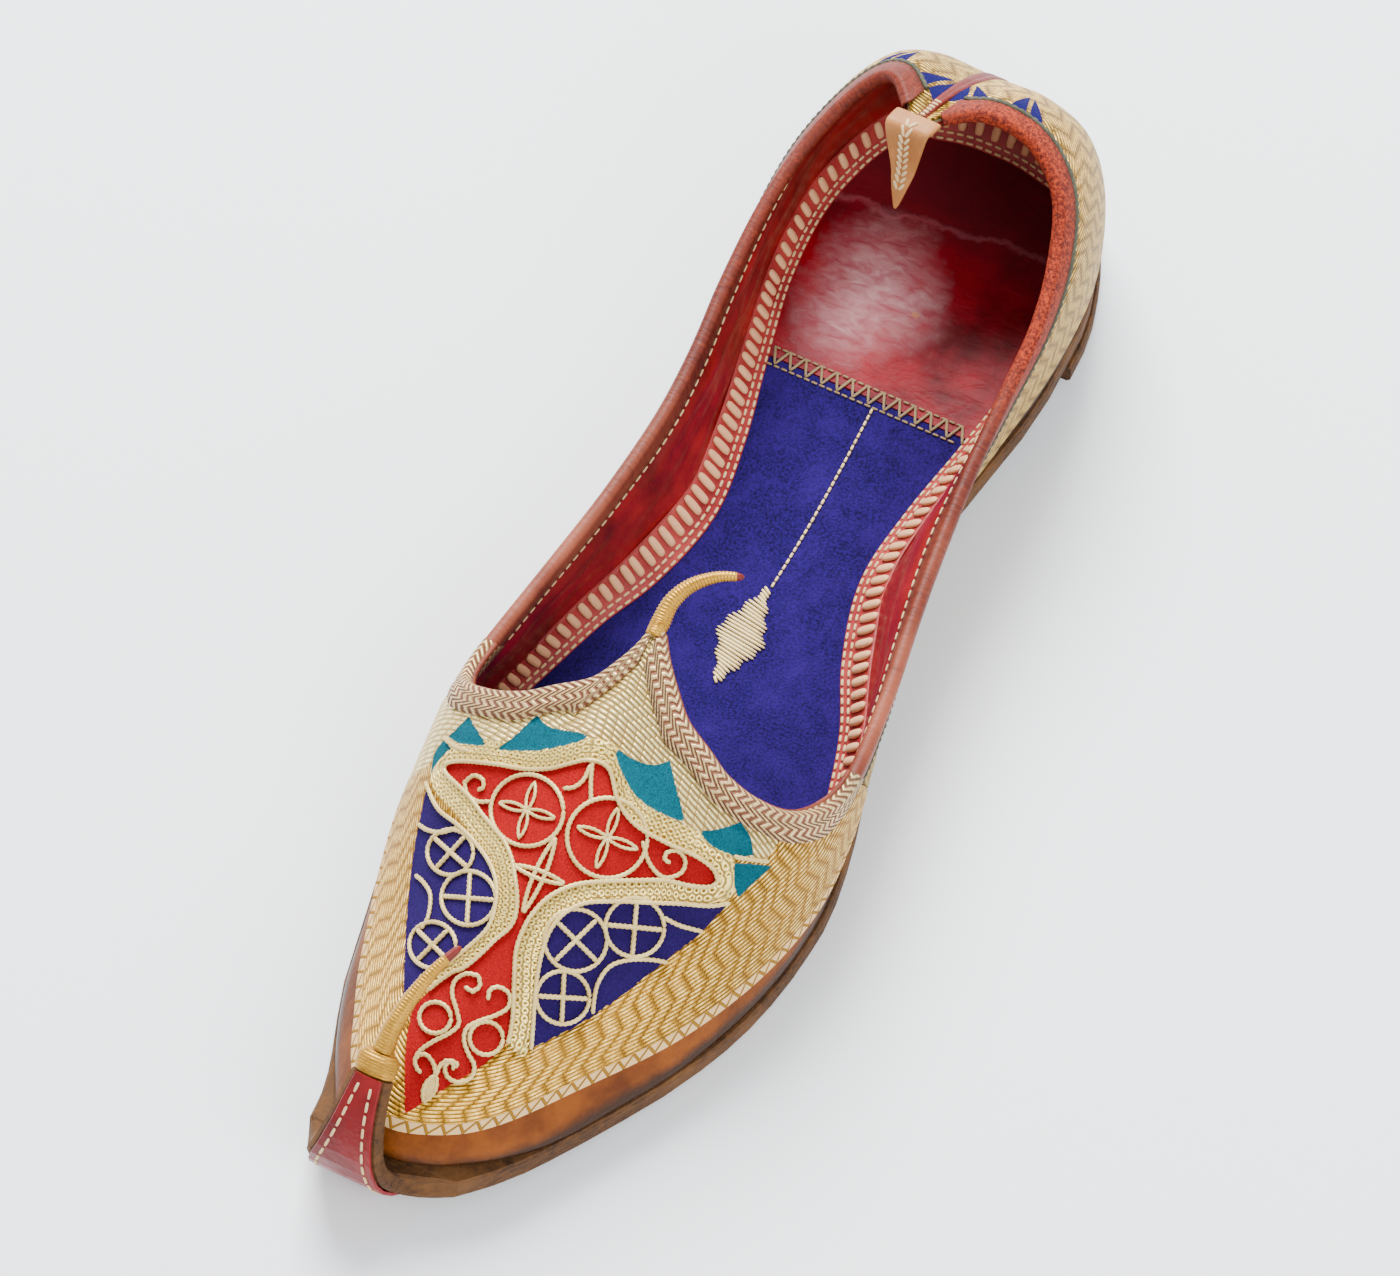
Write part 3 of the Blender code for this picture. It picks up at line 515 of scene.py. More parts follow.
def surface(tree, shader, base, roughness, metallic=None, *, height, depth, strength=1.0):
    """Feeds a shader: colour, roughness, metal and a relief of a real depth in metres."""
    for socket, source in (("Base Color", base), ("Roughness", roughness), ("Metallic", metallic)):
        if source is not None:
            tree.links.new(output(source), shader.inputs[socket])
    bump = node(tree, "Bump", {"Height": height, "Distance": depth, "Strength": strength})
    tree.links.new(bump.outputs[0], shader.inputs["Normal"])


# Meshes

def add_sheet(work, points, chart, slot=0):
    """Adds a grid of faces with its corners at rows and columns of points, and its chart."""
    rows, columns = points.shape[:2]
    made = bmesh.ops.create_grid(work, x_segments=columns - 1, y_segments=rows - 1, size=0.5)
    verts = made["verts"]
    shares = np.array([vert.co[:2] for vert in verts]) + 0.5
    column = np.rint(shares[:, 0] * (columns - 1)).astype(int)
    row = np.rint(shares[:, 1] * (rows - 1)).astype(int)
    spots = {}
    for vert, point, spot in zip(verts, points[row, column].tolist(), chart[row, column].tolist()):
        vert.co = point
        spots[vert] = spot
    chart_layer = work.loops.layers.uv.verify()
    for face in {face for vert in verts for face in vert.link_faces}:
        face.material_index = slot
        face.smooth = True
        for loop in face.loops:
            loop[chart_layer].uv = spots[loop.vert]


def finish_piece(work, name, materials, replaced=(), slot=None):
    """Closes a mesh and makes it a piece of the shoe."""
    bmesh.ops.remove_doubles(work, verts=work.verts, dist=1e-7)
    rims = [edge for edge in work.edges if edge.is_boundary]
    if rims:
        bmesh.ops.holes_fill(work, edges=rims, sides=0)
    bmesh.ops.recalc_face_normals(work, faces=work.faces)
    mesh = bpy.data.meshes.new(name)
    work.to_mesh(mesh)
    work.free()
    for material in materials:
        mesh.materials.append(material)
    piece = bpy.data.objects.new(name, mesh)
    bpy.context.scene.collection.objects.link(piece)
    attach(piece, "root")
    if replaced:
        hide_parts(*replaced)
    return piece


def sheet_piece(points, chart, *how):
    """Makes a piece of the shoe from one closed sheet."""
    work = bmesh.new()
    add_sheet(work, points, chart)
    return finish_piece(work, *how)


def each_point(mesh, what):
    """Places or normals of a mesh's points, a row for each."""
    values = np.empty(len(mesh.vertices) * 3)
    mesh.vertices.foreach_get(what, values)
    return values.reshape(-1, 3)


def write_mark(mesh, name, values):
    """Writes one value for each point of a mesh, for its material."""
    mesh.attributes.new(name, "FLOAT", "POINT").data.foreach_set("value", values)


def grid_on_wall(places, shares, offsets):
    """Rows of points on the wall: one row for each share and offset, a column for each place."""
    place = np.broadcast_to(places, shares.shape)
    points = on_wall(place, shares, offsets)
    return points.reshape(shares.shape + (3,))


def crease(points, size, seed):
    """Smooth noise of a size in metres at many points."""
    shift = Vector((seed, seed * 1.7, -seed))
    return np.array([noise.noise(Vector(p) / size + shift) for p in points.tolist()])


def build_wall(outer_leather, lining):
    """The upper: tan leather outside and a creased red lining inside, one closed wall."""
    columns = 379
    rows = 30
    places = np.linspace(0, AROUND, columns)
    up = np.linspace(0, 1, rows)
    share = np.concatenate((up, [1.0], up[::-1], [0.0]))
    offset = np.concatenate((np.zeros(rows), [-WALL / 2], np.full(rows, -WALL), [0.0]))
    shares = np.repeat(share[:, None], columns, 1)
    offsets = np.repeat(offset[:, None], columns, 1)
    inner = offsets < -WALL * 0.9
    pared_away = 0.45
    offsets = offsets - pared_away * offsets * pared(places, shares)
    flat = grid_on_wall(places, shares, offsets)
    # Creases of the lining: long along the shoe, short in height
    stretch = np.array((0.35, 0.35, 1.6))
    crease_size, crease_depth = 0.005, 0.0009
    drag = crease(flat.reshape(-1, 3) * stretch, crease_size, 3.0).reshape(shares.shape)
    inside = inner & (places < AROUND - 0.01)
    depth = np.where(inside, np.sin(np.pi * shares) ** 0.7 * drag * crease_depth, 0.0)
    points = grid_on_wall(places, shares, offsets + depth)
    points[:, -1] = points[:, 0]
    chart = np.stack((np.repeat(places[None], len(share), 0), np.where(inner, -shares, shares)), 2)
    work = bmesh.new()
    add_sheet(work, points, chart)
    chart_layer = work.loops.layers.uv.verify()
    for face in work.faces:
        if min(loop[chart_layer].uv.y for loop in face.loops) < -0.001:
            face.material_index = 1
    finish_piece(work, "upper_wall", [outer_leather, lining], ("upper",), "upper_leather")


def panel_grid(start, end, columns, rows):
    """Closed section of a panel on the wall, all along it, with a chart in millimetres."""
    places = np.linspace(start, end, columns)
    low = share_at_height(places, PANEL_EDGE)
    up = np.concatenate(([1.0, 0.66, 0.33, 0.0, 0.0], np.linspace(0.003, 1.0, rows), [1.0]))
    outward = np.concatenate((np.zeros(4), [0.5], np.ones(rows), [0.0]))[:, None]
    shares = low + (1 - low) * up[:, None]
    under = GAP - 0.0002 * pared(places, shares)
    points = grid_on_wall(places, shares, under + outward * (panel_face(places, shares) - under))
    along = lengths_along(points[5]) / MM
    steps = np.linalg.norm(np.diff(points[5:-1], axis=0), axis=2) / MM
    climb = np.concatenate((np.zeros((1, columns)), np.cumsum(steps, 0)))
    climb = np.concatenate((np.zeros((5, columns)), climb, climb[-1:]))
    chart = np.stack((np.repeat(along[None], len(up), 0), climb), 2)
    return points, chart


def add_tube(work, path, radii, sides=8, ridge=0.0, pitch=1.0, slot=0, flat=1.0, outward=None):
    """Adds a closed tube along a path, with a ridge that winds round it, charted by its length
    and its turn. Flat is its height as a share of its width."""
    path = np.asarray(path, float)
    run = lengths_along(path)
    way = np.gradient(path, axis=0)
    way /= np.maximum(np.linalg.norm(way, axis=1), 1e-9)[:, None]
    if outward is None:
        outward = np.tile((0.0, 0.0, 1.0), (len(path), 1))
    side = np.cross(way, outward)
    side /= np.maximum(np.linalg.norm(side, axis=1), 1e-9)[:, None]
    out = np.cross(side, way)
    turn = np.linspace(0, 1, sides + 1)
    angle = 2 * np.pi * turn
    wound = 1 + ridge * np.cos(2 * np.pi * (run / pitch)[None] + angle[:, None])
    size = wound * np.broadcast_to(radii, run.shape)
    points = (path[None] + side[None] * (np.cos(angle)[:, None] * size)[..., None]
              + out[None] * (np.sin(angle)[:, None] * size * flat)[..., None])
    points[-1] = points[0]
    chart = np.stack((np.repeat((run / MM)[None], sides + 1, 0),
                      np.repeat(turn[:, None], len(run), 1)), 2)
    add_sheet(work, points, chart, slot)


def resampled(path, step):
    """The path again, with points at an even step."""
    path = np.asarray(path, float)
    run = lengths_along(path)
    count = max(int(run[-1] / step) + 1, 3)
    at = np.linspace(0, run[-1], count)
    return np.stack([np.interp(at, run, path[:, i]) for i in range(path.shape[1])], 1)


def smooth_line(points, closed=False, parts=CURVE_PARTS):
    """A smooth curve through points that keeps its sharp corners."""
    points = np.asarray(points, float)
    count = len(points)
    before = np.roll(points, 1, 0)
    after = np.roll(points, -1, 0)
    if not closed:
        before[0] = 2 * points[0] - points[1]
        after[-1] = 2 * points[-1] - points[-2]
    leave = after - points
    arrive = points - before
    cosine = (leave * arrive).sum(1) / np.maximum(
        np.linalg.norm(leave, axis=1) * np.linalg.norm(arrive, axis=1), 1e-12)
    corner = cosine < 0.45
    slope = (after - before) / 2
    line = []
    for i in range(count if closed else count - 1):
        j = (i + 1) % count
        start = points[j] - points[i] if corner[i] else slope[i]
        end = points[j] - points[i] if corner[j] else slope[j]
        for t in np.arange(parts) / parts:
            first = 2 * t ** 3 - 3 * t ** 2 + 1
            last = 3 * t ** 2 - 2 * t ** 3
            line.append(first * points[i] + (t ** 3 - 2 * t ** 2 + t) * start
                        + last * points[j] + (t ** 3 - t ** 2) * end)
    line.append(points[0] if closed else points[-1])
    return np.array(line)


def add_stitch(work, start, end, outward, width, height):
    """Adds one stitch, a small bar with rounded edges from one place to another."""
    start = Vector(start)
    end = Vector(end)
    way = (end - start) / 2
    side = Vector(outward).cross(way).normalized() * width / 2
    out = way.cross(side).normalized() * height / 2
    middle = (start + end) / 2
    place = Matrix((
        (side.x, out.x, way.x, middle.x), (side.y, out.y, way.y, middle.y),
        (side.z, out.z, way.z, middle.z), (0, 0, 0, 1)))
    made = bmesh.ops.create_uvsphere(work, u_segments=8, v_segments=6, radius=1.0)["verts"]
    for vert in made:
        squared = [math.copysign(abs(part) ** 0.62, part) for part in vert.co]
        vert.co = place @ Vector(squared)
    for face in {face for vert in made for face in vert.link_faces}:
        face.smooth = True


def add_running(work, line, outward, pitch, share, width, height):
    """Adds a row of stitches along a line: each fills a share of the pitch."""
    run = lengths_along(line)
    for at in np.arange(0, run[-1] - pitch, pitch):
        start = [np.interp(at, run, line[:, i]) for i in range(3)]
        end = [np.interp(at + pitch * share, run, line[:, i]) for i in range(3)]
        normal = outward[min(int(np.searchsorted(run, at)), len(outward) - 1)]
        add_stitch(work, start, end, normal, width, height)


def edge_frame(places):
    """Points of the opening's edge, and its directions outward and on beyond the edge."""
    edge = wall(places, 1.0)
    out = wall_out(places, 1.0)
    beyond = np.cross(edge_run(places), out)
    beyond /= np.linalg.norm(beyond, axis=1)[:, None]
    back = ((edge - wall(places, 0.9)) * beyond).sum(1) < 0
    beyond[back] *= -1
    return edge, out, beyond


def edge_profile(places, out_high, in_low, skin, depth, roundness):
    """Closed section of a strip folded over the opening's edge, all along it."""
    facets = 10
    edge, out, beyond = edge_frame(places)
    leg = share_at_depth(places, depth)
    half_leg = 1 - (1 - leg) * 0.5
    legs = [(wall(places, share), wall_out(places, share)) for share in (leg, half_leg)]
    loops = []
    for inset, order in ((0.0, 1), (skin, -1)):
        high = out_high - inset
        low = in_low + inset
        line = [point + normal * high for point, normal in legs]
        for i in range(facets + 1):
            angle = math.pi * (0.5 - i / facets)
            rise = (high + low) / 2 + (high - low) / 2 * math.sin(angle)
            line.append(edge + beyond * (roundness - inset) * math.cos(angle) + out * rise)
        line += [point + normal * low for point, normal in reversed(legs)]
        loops += line[::order]
    loops.append(loops[0])
    points = np.array(loops)
    along = lengths_along(edge) / MM
    across = np.concatenate(([0], np.cumsum(np.linalg.norm(
        np.diff(points, axis=0), axis=2).mean(1)))) / MM
    chart = np.stack((np.repeat(along[None], len(points), 0),
                      np.repeat(across[:, None], len(places), 1)), 2)
    return points, chart


# Embroidery of the vamp. Each line is read off the photograph, in its pixels, and laid on the
# vamp along the camera's rays.
RED_FIELD = (
    (346, 735), (364, 744), (373, 776), (390, 799), (420, 816), (451, 830), (467, 842),
    (472, 854), (464, 860), (444, 859), (420, 854), (393, 854), (359, 855), (329, 859),
    (305, 870), (288, 887), (278, 904), (271, 925), (269, 952), (268, 979), (266, 999),
    (260, 1019), (238, 1039), (211, 1056), (190, 1068), (170, 1082), (160, 1088), (160, 1045),
    (161, 1021), (168, 985), (185, 965), (207, 948), (219, 943), (234, 931), (251, 914),
    (264, 903), (271, 890), (273, 870), (271, 850), (268, 833), (261, 816), (251, 803),
    (239, 789), (227, 772), (214, 759), (204, 749), (201, 742), (207, 737), (224, 736),
    (254, 739), (282, 744), (305, 744), (325, 739),
)
# Points of the red field between which no gold band runs beside it
BAND_STOPS = (21, 30)
VIOLET_FIELDS = (
    ((285, 1023), (287, 999), (289, 972), (292, 948), (297, 925), (305, 904), (319, 887),
     (339, 877), (366, 875), (400, 876), (434, 877), (464, 879), (484, 876), (456, 906),
     (420, 935), (349, 989)),
    ((183, 757), (195, 783), (214, 799), (231, 816), (246, 837), (253, 860), (251, 884),
     (243, 904), (221, 925), (200, 941), (177, 952), (159, 968), (160, 930), (164, 870),
     (171, 815)),
)
TEAL_FIELDS = (
    ((224, 691), (242, 720), (217, 718), (204, 711)),
    ((200, 713), (207, 723), (195, 735), (186, 749), (190, 728)),
    ((292, 689), (305, 701), (339, 708), (343, 713), (319, 720), (288, 725), (251, 724),
     (268, 712)),
    ((369, 720), (386, 732), (407, 739), (425, 735), (430, 756), (440, 796), (420, 789),
     (393, 772), (376, 745)),
    ((454, 805), (474, 803), (496, 796), (505, 811), (509, 829), (491, 830), (467, 820)),
    ((489, 837), (508, 838), (527, 840), (508, 857), (493, 872), (489, 857)),
)
# Rings: place and radius in pixels, turn of the cross in degrees, and if its arms are petals
RINGS = (
    (283, 785, 36.0, 16, True),
    (362, 812, 40.0, 20, True),
    (330, 914, 31.0, 45, False),
    (389, 901, 29.5, 5, False),
    (317, 971, 26.5, 3, False),
    (207, 827, 23.0, 42, False),
    (225, 873, 27.0, 4, False),
    (189, 920, 23.0, 45, False),
    (191, 992, 15.5, 0, None),
    (241, 1012, 16.5, 0, None),
)
# Long petals: their two ends and half their width in pixels
PETALS = (
    (311, 812, 278, 887, 5.0),
    (270, 840, 319, 858, 4.0),
)
# Scrolls and single lines of cord
SCROLLS = (
    ((246, 776), (234, 776), (224, 769), (221, 757), (230, 750), (239, 754), (240, 762),
     (234, 765)),
    ((397, 815), (404, 837), (418, 851), (435, 847), (440, 835), (433, 825), (422, 826),
     (419, 833), (425, 837)),
    ((348, 736), (346, 756), (346, 777)),
    ((346, 739), (339, 754), (329, 762), (319, 763)),
    ((220, 961), (228, 966), (235, 960), (234, 950), (222, 948), (211, 955), (208, 968),
     (212, 984), (214, 998), (205, 1007), (190, 1015), (177, 1024), (171, 1034), (173, 1043),
     (177, 1047)),
    ((243, 974), (245, 964), (254, 961), (264, 968), (263, 981), (251, 989), (234, 995),
     (222, 1002), (219, 1014), (223, 1027), (229, 1039), (226, 1051), (214, 1056), (203, 1051),
     (200, 1041), (205, 1034), (212, 1037), (211, 1042)),
    ((191, 1050), (189, 1038), (182, 1029), (174, 1029), (172, 1034)),
    ((191, 1050), (195, 1040), (202, 1034), (209, 1038), (208, 1044)),
    ((418, 891), (434, 899), (457, 905)),
    ((422, 936), (403, 933), (380, 934), (363, 941), (352, 957), (348, 975), (347, 987)),
    ((175, 799), (185, 805), (199, 807), (214, 802)),
    ((172, 850), (180, 857), (187, 870), (185, 891), (178, 904)),
    ((488, 830), (505, 833), (523, 835)),
    ((202, 714), (214, 722), (226, 726)),
)
# The leaf at the toe: its two ends and half its width
LEAF = (191, 1049, 179, 1075, 5.5)
# Part of the vamp up to the tongue, where the gold is a basket weave
TONGUE = (
    (150, 765), (190, 735), (224, 730), (290, 735), (345, 722), (372, 745), (395, 790),
    (440, 810), (520, 836), (548, 790), (620, 700), (420, 560), (300, 480), (90, 600),
)
CORD_RADIUS = 0.00043
# Steps of a field's outline for each of its points, and a distance beyond every field
FIELD_PARTS = 10
FAR = 30.0


def tree_of(piece):
    """Search tree of a piece's faces."""
    mesh = piece.data
    points = [vert.co.copy() for vert in mesh.vertices]
    faces = [tuple(face.vertices) for face in mesh.polygons]
    return BVHTree.FromPolygons(points, faces)


def laid(tree, pixels):
    """Points where the rays through places of the photograph land on a piece."""
    spots = [tree.ray_cast(*photo_ray(x, y))[0] for x, y in pixels]
    return np.array([spot for spot in spots if spot is not None])


def within(points, outline):
    """Whether places lie inside a closed outline."""
    x, y = points[:, 0], points[:, 1]
    inside = np.zeros(len(points), bool)
    for (x0, y0), (x1, y1) in zip(outline, np.roll(outline, -1, 0)):
        crosses = (y0 > y) != (y1 > y)
        if y0 != y1:
            inside ^= crosses & (x < (x1 - x0) * (y - y0) / (y1 - y0) + x0)
    return inside


def nearest(points, samples):
    """Distance to the nearest of the samples, and which it is, for a few thousand points at a
    time."""
    distance = []
    which = []
    for part in np.array_split(points, len(points) // 4000 + 1):
        gaps = np.linalg.norm(part[:, None] - samples[None], axis=2)
        distance.append(gaps.min(1))
        which.append(gaps.argmin(1))
    return np.concatenate(distance), np.concatenate(which)


def mark_fields(piece, tree):
    """Writes on the vamp how far each point lies from its fields' edges, in millimetres."""
    points = each_point(piece.data, "co")
    seen = photo_place(points)
    marks = {}
    for name, outlines in (("red", (RED_FIELD,)), ("violet", VIOLET_FIELDS), ("teal", TEAL_FIELDS)):
        best = np.full(len(points), FAR)
        for outline in outlines:
            line = smooth_line(outline, closed=True, parts=FIELD_PARTS)
            samples = laid(tree, line)
            distance, which = nearest(points, samples)
            inside = within(seen, line[:-1])
            signed = np.where(inside, -distance, distance) / MM
            best = np.minimum(best, signed)
            if name == "red":
                run = lengths_along(samples) / MM
                part = which / FIELD_PARTS
                stopped = (part > BAND_STOPS[0]) & (part < BAND_STOPS[1])
                marks["band"] = np.where(stopped, FAR, signed)
                marks["band_run"] = run[which]
        marks[name] = best
    marks["tongue"] = within(seen, np.array(TONGUE)).astype(float)
    for name, values in marks.items():
        write_mark(piece.data, name, values)
    return marks


def build_vamp(embroidery):
    """The embroidered vamp: gold couching raised round three colours of felt."""
    points, chart = panel_grid(-CORNER + PANEL_END, CORNER - PANEL_END, 401, 110)
    piece = sheet_piece(points, chart, "vamp_embroidery", [embroidery], ("vamp_panel",),
                        "gold_embroidery")
    tree = tree_of(piece)
    marks = mark_fields(piece, tree)
    # Heights of the gold over the felt and of the band over the gold, and the band's middle in mm
    gold_rise, band_rise, middle = 0.00022, 0.00035, 2.3
    felt = np.minimum(np.minimum(marks["red"], marks["violet"]), marks["teal"])
    gold = np.clip(felt / 0.5 + 0.5, 0, 1)
    band = np.clip(1 - np.abs(marks["band"] - middle) / middle, 0, 1) ** 0.5
    lift = gold_rise * gold + band_rise * band * gold
    mesh = piece.data
    raised = each_point(mesh, "co") + each_point(mesh, "normal") * lift[:, None]
    mesh.vertices.foreach_set("co", raised.ravel())
    mesh.update()
    return tree


def lens(x0, y0, x1, y1, half):
    """Outline of a petal between two places, in pixels."""
    share = np.linspace(0, 1, 12)
    swell = half * np.sin(np.pi * share) ** 0.8
    length = math.hypot(x1 - x0, y1 - y0)
    side = np.array((y0 - y1, x1 - x0)) / length
    middle = np.stack((x0 + share * (x1 - x0), y0 + share * (y1 - y0)), 1)
    there = middle + side * swell[:, None]
    back = middle - side * swell[:, None]
    return np.concatenate((there, back[::-1]))


def add_cord(work, tree, pixels, radius=CORD_RADIUS, lift=0.0003):
    """Adds a couched cord that lies on the vamp along places in the photograph."""
    path = resampled(laid(tree, pixels), 0.00035)
    outward = []
    for point in path:
        _, normal, _, _ = tree.find_nearest(Vector(point))
        outward.append(normal if normal.dot(BACK) > -0.2 else -normal)
    outward = np.array(outward)
    path = path + outward * (lift + radius * 0.35)
    taper = np.ones(len(path))
    taper[0] = taper[-1] = 0.5
    add_tube(work, path, radius * taper, ridge=0.22, pitch=0.0010, flat=0.85, outward=outward)


def build_cords(tree, cord):
    """The cream-gold cords: rings with crosses, petals, scrolls and the fields' edges."""
    petal_half = 3.6
    edge_lift = 0.0005
    work = bmesh.new()
    angles = np.linspace(0, 2 * math.pi, 41)
    for x, y, radius, turn, petals in RINGS:
        ring = np.stack((x + radius * np.cos(angles), y + radius * np.sin(angles)), 1)
        add_cord(work, tree, ring)
        if petals is None:
            continue
        for arm in range(4 if petals else 2):
            spun = math.radians(turn + arm * 90)
            reach = 0.80 * radius if petals else 0.94 * radius
            tip = (x + reach * math.cos(spun), y + reach * math.sin(spun))
            if petals:
                add_cord(work, tree, lens(x, y, *tip, petal_half), CORD_RADIUS * 0.75)
            else:
                add_cord(work, tree, ((2 * x - tip[0], 2 * y - tip[1]), (x, y), tip),
                         CORD_RADIUS * 1.1)
    for petal in PETALS:
        add_cord(work, tree, lens(*petal))
    for scroll in SCROLLS:
        add_cord(work, tree, smooth_line(scroll))
    leaf = lens(*LEAF)
    add_cord(work, tree, leaf)
    for i in range(2, 10):
        add_cord(work, tree, (leaf[i], leaf[-1 - i]), CORD_RADIUS * 0.9)
    around = smooth_line(RED_FIELD, closed=True)
    first = BAND_STOPS[1] * CURVE_PARTS
    last = BAND_STOPS[0] * CURVE_PARTS
    add_cord(work, tree, np.concatenate((around[first:-1], around[:last])), lift=edge_lift)
    for outline, points in ((VIOLET_FIELDS[0], 13), (VIOLET_FIELDS[1], 11)):
        add_cord(work, tree, smooth_line(outline[:points]), lift=edge_lift)
    finish_piece(work, "vamp_cords", [cord], slot="gold_embroidery")


def build_quarters(embroidery):
    """The embroidered quarters, one on each side of the heel."""
    for side, start, end in (("right", CORNER + PANEL_END, HEEL_RIB - 0.2),
                             ("left", HEEL_RIB + 0.2, AROUND - CORNER - PANEL_END)):
        points, chart = panel_grid(start, end, 301, 40)
        if side == "left":
            chart[..., 0] = chart[..., 0].max() - chart[..., 0]
        mesh = sheet_piece(points, chart, "quarter_embroidery_" + side, [embroidery],
                           ("quarter_panel_" + side,), "gold_embroidery").data
        seam = points[:, -1] if side == "right" else points[:, 0]
        spots = each_point(mesh, "co")
        for name, samples in (("drop", points[-2]), ("from_back", seam)):
            write_mark(mesh, name, nearest(spots, samples)[0] / MM)


def build_edge(name, start, end, columns, material, replaced, slot, high, low, skin, depth,
               roundness):
    """A strip folded over the opening's edge."""
    places = np.linspace(start, end, columns)
    points, chart = edge_profile(places, high, low, skin, depth, roundness)
    if start > HEEL_RIB:
        chart[..., 0] -= chart[..., 0].max()
    sheet_piece(points, chart, name, [material], replaced, slot)


def build_back_strip(leather):
    """The red strip down the back of the heel, narrow at the beak."""
    rows = 60
    up = np.linspace(1, 0, rows)
    low = share_at_height(np.array([float(HEEL_RIB)]), PANEL_EDGE)[0]
    reach = np.linspace(-1, 1, 15)
    foot_width, beak_width = 0.52, 0.24
    width = foot_width + (beak_width - foot_width) * up
    places = HEEL_RIB + reach[None] * width[:, None]
    shares = np.repeat((low + (1 - low) * up)[:, None], len(reach), 1)
    heel = np.array([float(HEEL_RIB)])
    bulge = panel_face(heel, shares[:, :1]) + 0.0004 * (1 - np.abs(reach) ** 4)
    face = on_wall(places, shares, bulge).reshape(rows, -1, 3)
    rear = on_wall(places, shares, np.full(shares.shape, 0.0002)).reshape(rows, -1, 3)
    points = np.concatenate((face, rear[:, ::-1], face[:, :1]), 1)
    chart = np.zeros(points.shape[:2] + (2,))
    chart[..., 0] = np.linspace(0, 1, points.shape[1])[None]
    chart[..., 1] = (1 - up)[:, None]
    sheet_piece(points, chart, "heel_back_strip", [leather], ("back_strip",), "red_leather")


def build_heel_tab(leather, thread):
    """The three-cornered tan tab that hangs from the beak, with a chain of stitches down it."""
    width = 0.0092
    length = 0.0165
    thickness = 0.0014
    clear = 0.0008
    place = float(HEEL_RIB)
    beak = Vector(wall(place, 1.0)[0])
    out = Vector(wall_out(place, 1.0)[0])
    ahead = (beak - Vector(wall(place, 0.93)[0])).normalized()
    spot = beak - out * (WALL + clear + thickness / 2) - Vector((0.002, 0, 0))
    # Shares of the tab's length, and its slope in degrees from the mark before
    marks = ((0.0, 0), (0.2, 22), (0.45, 48), (0.7, 62), (1.0, 66))
    path = [beak - ahead * 0.0018 + out * 0.0016, beak + ahead * 0.0006 + out * 0.0013,
            beak + ahead * 0.0023 + out * 0.0001]
    for i in range(1, len(marks)):
        run = (marks[i][0] - marks[i - 1][0]) * length
        turn = math.radians(marks[i][1])
        spot = spot + Vector((run * math.cos(turn), run * 0.06, -run * math.sin(turn)))
        if i > 1:
            path.append(spot)
    spine = resampled(smooth_line(path), 0.0004)
    count = len(spine)
    shares = np.linspace(0, 1, count)
    way = np.gradient(spine, axis=0)
    up = np.cross(way, np.array((0.0, 1.0, 0.0)))
    up /= np.linalg.norm(up, axis=1)[:, None]
    up *= np.sign(up[:, 2:3])
    half = width / 2 * np.clip(1 - np.clip(shares - 0.12, 0, 1) / 0.88, 0, 1) ** 0.85 + 0.0003
    sides = 25
    angle = np.linspace(0, 2 * np.pi, sides)
    round_x = np.sign(np.cos(angle)) * np.abs(np.cos(angle)) ** 0.35
    round_z = np.sign(np.sin(angle)) * np.abs(np.sin(angle)) ** 0.5
    points = (spine[None] + round_z[:, None, None] * up[None] * thickness / 2
              + (round_x[:, None] * half[None])[..., None] * np.array((0, 1.0, 0)))
    points[-1] = points[0]
    chart = np.stack((np.repeat(shares[None] * length / MM, sides, 0),
                      np.repeat(angle[:, None], count, 1)), 2)
    sheet_piece(points, chart, "heel_tab_leather", [leather], ("heel_tab",), "tan_leather")
    work = bmesh.new()
    # Each pair of stitches runs in towards the middle, over four steps of the spine
    top = spine + up * (thickness * 0.54)
    step = 4
    for i in range(5, int(count * 0.8), step):
        for side in (-1, 1):
            wide = np.array((0.0, side * 0.0011, 0.0))
            narrow = np.array((0.0, side * 0.0002, 0.0))
            add_stitch(work, top[i] + wide, top[i + step] + narrow, up[i], 0.0007, 0.0006)
    finish_piece(work, "heel_tab_stitches", [thread])


def wound_horn(name, points, materials, replaced, tip_length, base, tip, root=1.0):
    """A thread-wrapped horn with a bare tip of red leather, and a root of a share of its base."""
    root_length = 0.0032
    overlap = 6
    rounding = 12
    path = resampled(smooth_line(points), 0.00013)
    run = lengths_along(path)
    radii = base + (tip - base) * run / run[-1]
    radii *= root + (1 - root) * np.clip(run / root_length, 0, 1)
    cut = int(np.searchsorted(run, run[-1] - tip_length))
    work = bmesh.new()
    add_tube(work, path[:cut + overlap], radii[:cut + overlap], 14, ridge=0.055, pitch=0.00065)
    end = radii[cut:] * 0.92
    end[-rounding:] *= np.sqrt(np.clip(1 - np.linspace(0, 1, rounding) ** 2, 0.02, 1))
    add_tube(work, path[cut:], end, 14, slot=1)
    finish_piece(work, name, materials, replaced, "gold_embroidery")


